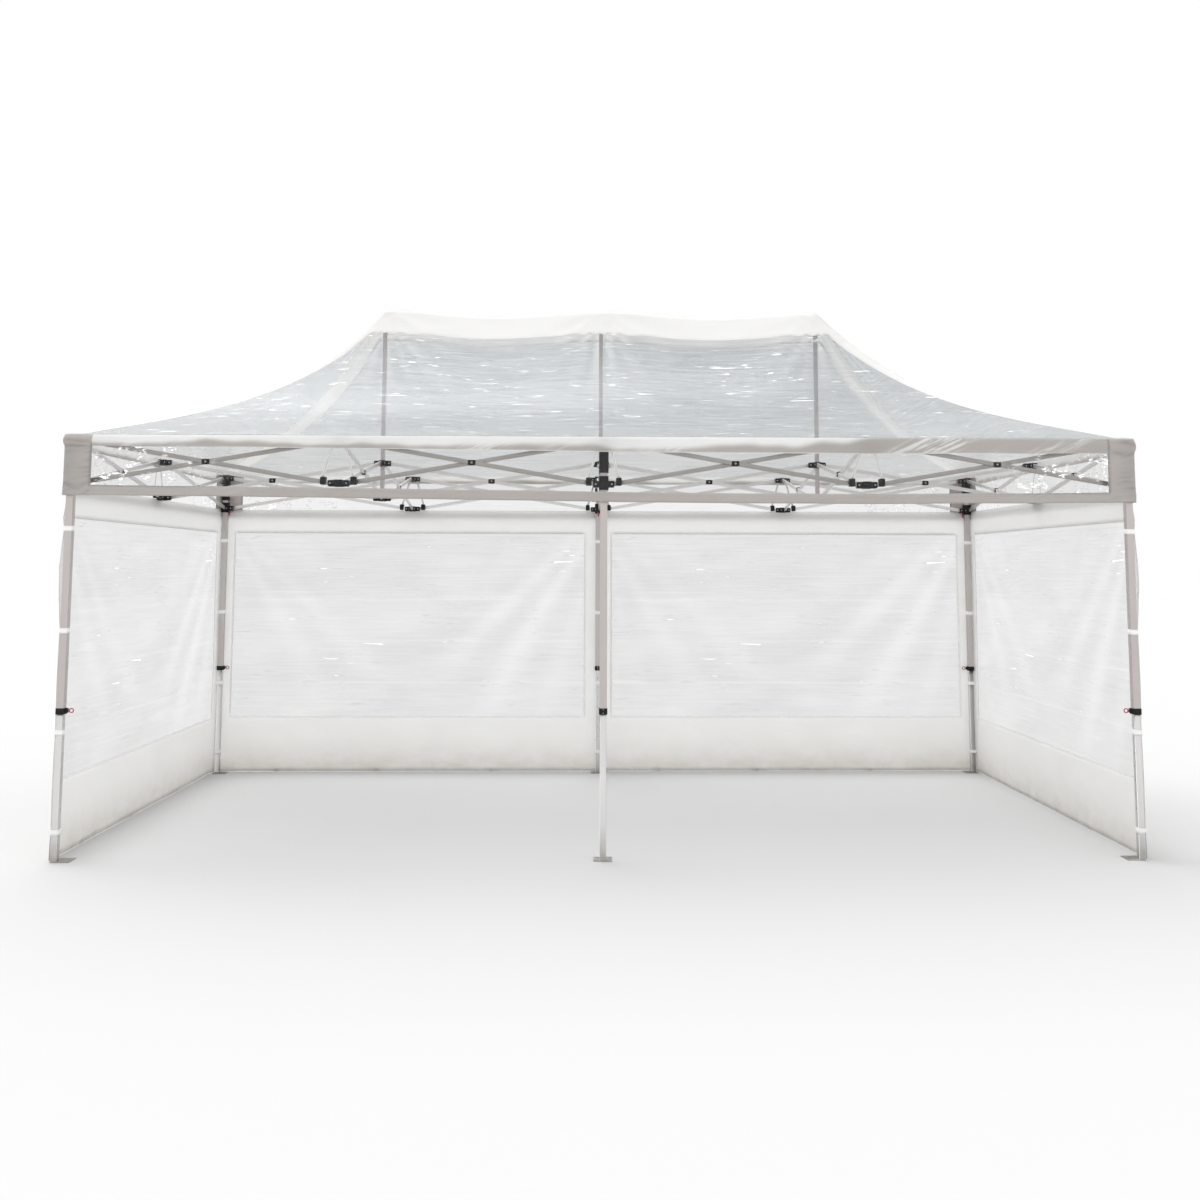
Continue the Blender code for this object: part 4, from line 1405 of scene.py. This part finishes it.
@dataclass
class Leg:
    """One leg's details over its packed tubes and castings: holes, bolts, straps and pulls.

    The inner leg is rebuilt with its real adjustment holes and the lock is taken down to the collar's real size; the
    other solids keep their shape.
    """

    plan: TentPlan
    kit: ShaderKit
    nodes: dict[str, bpy.types.Object]
    name: str
    sides: tuple[int, int]
    casting: Casting = field(default_factory=Casting)
    inner_side: float = 0.0355
    outer_side: float = 0.040
    hole_radius: float = 0.0045
    hole_pitch: float = 0.075
    hole_count: int = 7
    strap_heights: tuple[float, ...] = (1.80, 1.24, 0.69)
    low_strap: float = 0.16
    lock_side: float = 0.046
    lock_low: float = 0.7868
    lock_high: float = 0.8195
    strap_width: float = 0.028
    strap_thickness: float = 0.0014
    pull_drop: float = 0.020
    sleeve_side: float = 0.053
    knob_rise: float = 0.038
    knob_radius: float = 0.011
    knob_length: float = 0.012

    @property
    def at(self) -> Vector:
        """Plan point of the leg."""
        return Vector((self.sides[0] * self.plan.leg_x, self.sides[1] * self.plan.leg_y, 0.0))

    @property
    def body(self) -> str:
        """The body of the inner leg."""
        return self.name + "_leg"

    def directions(self) -> list[tuple[int, int]]:
        """Directions of the trusses that leave the leg."""
        across = (0, -self.sides[1])
        if self.sides[0] == 0:
            return [(-1, 0), (1, 0), across]
        return [(-self.sides[0], 0), across]

    def inwards(self) -> Vector:
        """Direction in which the release pin and its holes face."""
        if self.sides[0] == 0:
            return Vector((0.0, -self.sides[1], 0.0))
        return Vector((-self.sides[0], 0.0, 0.0))

    def finish_solids(self) -> None:
        """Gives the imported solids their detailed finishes."""
        for part, finish in (
            ("outer_leg", Finish.TUBE),
            ("release_pin", Finish.PULL),
            ("top_bracket", Finish.NYLON),
            ("slider", Finish.NYLON),
        ):
            paint(self.nodes[self.name + "_" + part], self.kit, finish)

    def build_inner_leg(self) -> bpy.types.Object:
        """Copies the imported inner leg, drills its holes and dresses it."""
        node = self.name + "_inner_leg"
        bm = bmesh.new()
        bm.from_mesh(self.nodes[node].data)
        bmesh.ops.remove_doubles(bm, verts=bm.verts, dist=0.00001)
        for face in bm.faces:
            face.material_index = 1 if face.calc_center_median().z < self.foot_top else 0
        leg = dressed(
            node + "_tube",
            bm,
            self.kit,
            (Finish.BRIGHT_TUBE, Finish.STEEL),
            body=self.body,
            stands_for=(node,),
        )
        drill = bmesh.new()
        turn = Vector((0, 0, 1)).rotation_difference(self.inwards()).to_matrix()
        for index in range(self.hole_count):
            made = bmesh.ops.create_cone(
                drill, cap_ends=True, segments=16, radius1=self.hole_radius, radius2=self.hole_radius, depth=0.012
            )["verts"]
            bmesh.ops.rotate(drill, cent=(0, 0, 0), matrix=turn, verts=made)
            height = self.plan.lock_height - (index + 1) * self.hole_pitch
            bmesh.ops.translate(
                drill, vec=self.at + self.inwards() * self.inner_side / 2 + Vector((0, 0, height)), verts=made
            )
        cut_with(leg, drill)
        return leg

    def build_lock(self) -> bpy.types.Object:
        """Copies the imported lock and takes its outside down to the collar's real size, its bores kept."""
        node = self.name + "_leg_lock"
        low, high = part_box(node)
        bm = bmesh.new()
        bm.from_mesh(self.nodes[node].data)
        bmesh.ops.remove_doubles(bm, verts=bm.verts, dist=0.00001)
        widths = ((0.0, 0.0), (0.0204, 0.0204), (0.0275, self.lock_side / 2), (0.036, 0.036))
        heights = ((low[2], self.lock_low), (0.7898, 0.7898), (0.818, 0.818), (high[2], self.lock_high))
        for vert in bm.verts:
            for axis in (0, 1):
                out = vert.co[axis] - self.at[axis]
                vert.co[axis] = self.at[axis] + math.copysign(remapped(abs(out), widths), out)
            vert.co.z = remapped(vert.co.z, heights)
        return dressed(node + "_collar", bm, self.kit, (Finish.NYLON,), stands_for=(node,))

    @property
    def foot_top(self) -> float:
        """Height under which the inner leg is its foot plate."""
        return 0.0045

    def add_strap(self, bm: bmesh.types.BMesh, height: float, side: float) -> None:
        """Adds one hook-and-loop strap that wraps a tube and reaches the wall outside it."""
        clear = side / 2 + self.strap_thickness
        to_wall = self.plan.wall_x - self.plan.leg_x - self.strap_thickness
        reach_x = to_wall if self.sides[0] else clear
        reach_y = to_wall if self.sides[1] > 0 else clear
        low = (-(reach_x if self.sides[0] < 0 else clear), -clear)
        high = (reach_x if self.sides[0] > 0 else clear, reach_y)
        centre = ((low[0] + high[0]) / 2, (low[1] + high[1]) / 2)
        half = ((high[0] - low[0]) / 2, (high[1] - low[1]) / 2)
        parts = 32

        def wrap(turn: float, up: float) -> Vector:
            """Point of the strap's loop, a rounded square round the tube."""
            angle = 2 * math.pi * (turn % 1.0)
            cosine, sine = math.cos(angle), math.sin(angle)
            x = centre[0] + half[0] * math.copysign(abs(cosine) ** 0.28, cosine)
            y = centre[1] + half[1] * math.copysign(abs(sine) ** 0.28, sine)
            return self.at + Vector((x, y, height + up + 0.0015 * math.sin(angle)))

        Patch(
            across=stations((0.0, parts), (1.0, 0)),
            up=stations((-self.strap_width / 2, 3), (self.strap_width / 2, 0)),
            place=wrap,
            measure=lambda turn, up: (turn * 4 * half[0], up),
            finish=lambda turn, up: 0,
            seam=lambda turn, up: (turn, self.strap_width / 2 - abs(up)),
        ).add_to(bm)

    def build_straps(self) -> None:
        """Makes the straps that tie the walls to the leg; the lowest one rides on the inner leg."""
        upper = bmesh.new()
        for height in self.strap_heights:
            side = self.outer_side if height > self.plan.lock_height else self.inner_side
            self.add_strap(upper, height, side)
        bmesh.ops.remove_doubles(upper, verts=upper.verts, dist=0.0001)
        lower = bmesh.new()
        self.add_strap(lower, self.low_strap, self.inner_side)
        bmesh.ops.remove_doubles(lower, verts=lower.verts, dist=0.0001)
        finishes = (Finish.WEBBING,)
        thickness = self.strap_thickness
        dressed(self.name + "_wall_straps", upper, self.kit, finishes, thickness=thickness)
        dressed(
            self.name + "_low_strap", lower, self.kit, finishes, body=self.body, thickness=thickness
        )

    def build_bolts(self) -> bpy.types.Object:
        """Makes the bolt heads across the arms of the bracket and the slider."""
        bm = bmesh.new()
        for direction in self.directions():
            for height in (self.plan.low_joint, self.plan.high_joint):
                self.casting.add_bolts(bm, self.at, direction, height)
        for height in (self.lock_high - 0.007, self.lock_low + 0.007):
            face = self.at - self.inwards() * self.lock_side / 2
            add_stud(bm, face + Vector((0, 0, height)), -self.inwards(), 0.003, 0.0014)
        if self.sides[0] == 0:
            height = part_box(self.name + "_top_bracket")[0][2] + self.knob_rise
            for sign in (1, -1):
                axis = Vector((sign, 0.0, 0.0))
                spot = self.at + axis * self.sleeve_side / 2 + Vector((0, 0, height))
                add_stud(bm, spot, axis, self.knob_radius, self.knob_length)
        return dressed(self.name + "_bolts", bm, self.kit, (Finish.STEEL,))

    def build_slider_pull(self) -> bpy.types.Object:
        """Makes the small red pull under the slider's inner face."""
        bm = bmesh.new()
        face = self.at + self.inwards() * (self.casting.body / 2 + 0.004)
        add_block(bm, (0.014, 0.014, 0.020), face + Vector((0, 0, self.slider_pull_height)), 0.003)
        add_stud(bm, face + Vector((0, 0, self.slider_pull_height - 0.010)), Vector((0, 0, -1)), 0.006, self.pull_drop)
        return dressed(self.name + "_slider_pull", bm, self.kit, (Finish.PULL,))

    @property
    def slider_pull_height(self) -> float:
        """Height of the slider's pull, just under its body."""
        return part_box(self.name + "_slider")[0][2] + 0.006

    def build(self) -> None:
        """Makes the leg's details and dresses its solids."""
        self.finish_solids()
        self.build_lock()
        self.build_inner_leg()
        self.build_bolts()
        self.build_slider_pull()
        if self.name != "front_middle":
            self.build_straps()


@dataclass
class CanopyStraps:
    """The straps that tie the cover's hem to the trusses at their middle joints and legs.

    Each pair runs from the high joint down and out to a black clip round the bar on either side.
    """

    plan: TentPlan
    kit: ShaderKit
    out: float = 0.0295
    end_out: float = 0.024
    top_out: float = 0.022
    clip_out: float = 0.084
    clip: Point = (0.031, 0.046, 0.044)
    clip_rise: float = 0.014
    width: float = 0.015
    thickness: float = 0.0014

    def places(self) -> list[tuple[Vector, Vector]]:
        """Plan point of each joint with the outward direction of its truss line."""
        listed = []
        for y in (-self.plan.leg_y, self.plan.leg_y):
            for x in (-self.plan.bay, 0.0, self.plan.bay):
                listed.append((Vector((x, y, 0.0)), Vector((0.0, math.copysign(1.0, y), 0.0))))
        for x in (-self.plan.leg_x, self.plan.leg_x):
            listed.append((Vector((x, 0.0, 0.0)), Vector((math.copysign(1.0, x), 0.0, 0.0))))
        return listed

    def build(self) -> None:
        """Makes the straps and their clips."""
        straps, clips = bmesh.new(), bmesh.new()
        low, high = self.plan.low_joint, self.plan.high_joint
        for at, outwards in self.places():
            tangent = Vector((-outwards.y, outwards.x, 0.0))
            turn = Matrix.Rotation(math.atan2(tangent.y, tangent.x), 3, "Z")
            for sign in (1, -1):
                top = at + outwards * self.out + tangent * sign * self.top_out + Vector((0, 0, high + 0.012))
                clip_top = low + self.clip_rise + self.clip[2] / 2
                end = at + outwards * self.end_out + tangent * sign * self.clip_out + Vector((0, 0, clip_top - 0.002))
                length = (end - top).length

                def hang(across: float, down: float, top: Vector = top, end: Vector = end) -> Vector:
                    """Point of one strap, which bellies out a little between its ends."""
                    run = end - top
                    sideways = run.cross(outwards).normalized()
                    return top + run * down + sideways * across + outwards * 0.0022 * math.sin(math.pi * down)

                Patch(
                    across=stations((-self.width / 2, 3), (self.width / 2, 0)),
                    up=stations((0.0, 14), (1.0, 0)),
                    place=hang,
                    measure=lambda across, down, length=length: (across, down * length),
                    finish=lambda across, down: 0,
                    seam=lambda across, down, length=length: (down * length, self.width / 2 - abs(across)),
                ).add_to(straps)
                centre = at + tangent * sign * self.clip_out + outwards * 0.006 + Vector((0, 0, low + self.clip_rise))
                add_block(clips, self.clip, centre, 0.004, turn)
        dressed("canopy_straps", straps, self.kit, (Finish.WEBBING,), thickness=self.thickness)
        dressed("canopy_clips", clips, self.kit, (Finish.NYLON,))


def paint(node: bpy.types.Object, kit: ShaderKit, finish: Finish) -> None:
    """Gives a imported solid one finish."""
    if not node.material_slots:
        node.data.materials.append(kit.material(finish))
    for place in node.material_slots:
        place.link = "OBJECT"
        place.material = kit.material(finish)


def cut_with(target: bpy.types.Object, tool: bmesh.types.BMesh) -> None:
    """Cuts a closed shape out of a piece for good.

    Args:
        target: The piece to cut.
        tool: The shape to take away, freed here.
    """
    mesh = bpy.data.meshes.new("cutting_shape")
    tool.to_mesh(mesh)
    tool.free()
    helper = bpy.data.objects.new("cutting_shape", mesh)
    bpy.context.scene.collection.objects.link(helper)
    modifier = target.modifiers.new("cut", "BOOLEAN")
    modifier.operation = "DIFFERENCE"
    modifier.solver = "EXACT"
    modifier.object = helper
    bpy.context.view_layer.update()
    result = bpy.data.meshes.new_from_object(target.evaluated_get(bpy.context.evaluated_depsgraph_get()))
    target.modifiers.clear()
    target.data = result
    target.data.set_sharp_from_angle(angle=math.radians(35))
    bpy.data.objects.remove(helper, do_unlink=True)
    bpy.data.meshes.remove(mesh)


@dataclass
class PeakPoles:
    """The three square poles between the hubs and the ridge."""

    kit: ShaderKit
    nodes: dict[str, bpy.types.Object]

    def build(self) -> None:
        """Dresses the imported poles."""
        for name in ("left", "middle", "right"):
            paint(self.nodes[name + "_peak_pole"], self.kit, Finish.TUBE)


@dataclass
class Studio:
    """The pale floor, the soft light and the camera at the photograph's viewpoint."""

    camera_at: Point = (-0.1019, -8.3935, 1.5823)
    yaw: float = -0.0197
    pitch: float = 0.0970
    roll: float = 0.0024
    focal_pixels: float = 1235.465
    centre_pixels: tuple[float, float] = (609.98, 448.81)
    picture: float = 1200.0
    sensor: float = 36.0
    floor_half: float = 60.0
    floor_tone: float = 0.573
    surround: float = 1.12
    backdrop: float = 1.0
    key_from: Point = (-0.30, 0.42, 0.90)
    key_strength: float = 2.2
    key_softness: float = 50.0

    def build_camera(self) -> None:
        """Places the camera as fitted to the feet, locks and truss joints in the photograph."""
        data = bpy.data.cameras.new("viewpoint")
        data.sensor_width = self.sensor
        data.lens = self.focal_pixels / self.picture * self.sensor
        data.shift_x = (self.picture / 2 - self.centre_pixels[0]) / self.picture
        data.shift_y = (self.centre_pixels[1] - self.picture / 2) / self.picture
        data.clip_start, data.clip_end = 0.05, 200.0
        ahead = Vector((-math.sin(self.yaw), math.cos(self.yaw), 0.0))
        upright = Vector((0.0, 0.0, 1.0))
        right = Vector((math.cos(self.yaw), math.sin(self.yaw), 0.0))
        looking = ahead * math.cos(self.pitch) + upright * math.sin(self.pitch)
        above = upright * math.cos(self.pitch) - ahead * math.sin(self.pitch)
        rolled_right = right * math.cos(self.roll) + above * math.sin(self.roll)
        rolled_up = above * math.cos(self.roll) - right * math.sin(self.roll)
        turn = Matrix((rolled_right, rolled_up, -looking)).transposed().to_4x4()
        camera = bpy.data.objects.new("viewpoint", data)
        camera.matrix_world = Matrix.Translation(self.camera_at) @ turn
        bpy.context.scene.collection.objects.link(camera)
        bpy.context.scene.camera = camera

    def build_floor(self) -> None:
        """Lays the plain pale floor."""
        bm = bmesh.new()
        bmesh.ops.create_grid(bm, x_segments=1, y_segments=1, size=self.floor_half)
        mesh = bpy.data.meshes.new("studio_floor")
        bm.to_mesh(mesh)
        bm.free()
        floor = bpy.data.objects.new("studio_floor", mesh)
        bpy.context.scene.collection.objects.link(floor)
        made, start = MaterialStart.new("pale_floor")
        tone = self.floor_tone
        start.feed(Base_Color=(tone, tone, tone, 1.0), Roughness=0.9, Specular_IOR_Level=0.1)
        mesh.materials.append(made)

    def build_surround(self) -> None:
        """Surrounds the scene with even white light, behind which the backdrop is plain white."""
        world = bpy.data.worlds.new("white_surround")
        world.use_nodes = True
        tree = world.node_tree
        seen = tree.nodes.new("ShaderNodeLightPath").outputs["Is Camera Ray"]
        more = ShaderKit.math(tree, "MULTIPLY", seen, self.backdrop - self.surround)
        background = tree.nodes["Background"]
        background.inputs["Color"].default_value = (1.0, 1.0, 1.0, 1.0)
        tree.links.new(ShaderKit.math(tree, "ADD", more, self.surround), background.inputs["Strength"])
        bpy.context.scene.world = world
        bpy.context.scene.view_settings.view_transform = "Standard"

    def build_key(self) -> None:
        """Hangs the broad key light high behind the left side, as in the photograph."""
        data = bpy.data.lights.new("key", "SUN")
        data.energy = self.key_strength
        data.angle = math.radians(self.key_softness)
        lamp = bpy.data.objects.new("key", data)
        lamp.location = Vector(self.key_from) * 10
        lamp.rotation_mode = "QUATERNION"
        lamp.rotation_quaternion = (-Vector(self.key_from)).to_track_quat("-Z", "Y")
        bpy.context.scene.collection.objects.link(lamp)

    def build(self) -> None:
        """Sets up the stage."""
        self.build_camera()
        self.build_floor()
        self.build_surround()
        self.build_key()


def build_trusses(plan: TentPlan, kit: ShaderKit) -> None:
    """Builds the perimeter trusses and those that meet under the ridge."""
    bay, leg_x, leg_y = plan.bay, plan.leg_x, plan.leg_y
    for row, y in (("front", -leg_y), ("back", leg_y)):
        inward = (0, 1) if y < 0 else (0, -1)
        for half, x0, x1 in (("left", -leg_x, 0.0), ("right", 0.0, leg_x)):
            joint = ((x0 + x1) / 2, y)
            units = [((x0, y), joint), (joint, (x1, y))]
            # The front bars take the copy with painted shade, the others the copy with painted light.
            finish = Finish.BAR if row == "front" else Finish.BRIGHT_BAR
            Truss(plan, kit, f"{row}_{half}_truss", units, [(joint, ((1, 0), (-1, 0), inward))], finish).build()
    for half, x in (("left", -leg_x), ("right", leg_x)):
        inward = (1, 0) if x < 0 else (-1, 0)
        units = [((x, -leg_y), (x, 0.0)), ((x, 0.0), (x, leg_y))]
        Truss(plan, kit, f"{half}_end_truss", units, [((x, 0.0), ((0, 1), (0, -1), inward))]).build()
    everywhere = ((1, 0), (-1, 0), (0, 1), (0, -1))
    for half, x, more in (
        ("left", -bay, [(-leg_x, 0.0), (0.0, 0.0)]),
        ("middle", 0.0, []),
        ("right", bay, [(leg_x, 0.0), (0.0, 0.0)]),
    ):
        units = [((x, 0.0), end) for end in [(x, -leg_y), (x, leg_y), *more]]
        Truss(plan, kit, f"{half}_hub_truss", units, [((x, 0.0), everywhere)]).build()


def build_walls(plan: TentPlan, kit: ShaderKit) -> None:
    """Builds the side walls and the two halves of the back wall."""
    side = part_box("right_wall")
    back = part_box("back_right_wall")
    SideWall(plan, kit, "right_wall", Side.RIGHT, side[0][1], side[1][1], (False, True)).build()
    SideWall(plan, kit, "left_wall", Side.LEFT, -side[1][1], -side[0][1], (True, False)).build()
    SideWall(plan, kit, "back_right_wall", Side.BACK, -back[1][0], -back[0][0], (True, True)).build()
    SideWall(plan, kit, "back_left_wall", Side.BACK, back[0][0], back[1][0], (True, True)).build()


def main() -> None:
    """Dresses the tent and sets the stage."""
    logging.basicConfig(level=logging.INFO, format="%(name)s: %(message)s")
    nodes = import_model()["nodes"]
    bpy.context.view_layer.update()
    plan = TentPlan.from_frame()
    kit = ShaderKit()
    Studio().build()
    RoofCover(plan, kit).build()
    Valance(plan, kit).build()
    build_walls(plan, kit)
    build_trusses(plan, kit)
    CanopyStraps(plan, kit).build()
    for name, sides in LEG_SIDES.items():
        Leg(plan, kit, nodes, name, sides).build()
    PeakPoles(kit, nodes).build()


if __name__ == "__main__":
    main()
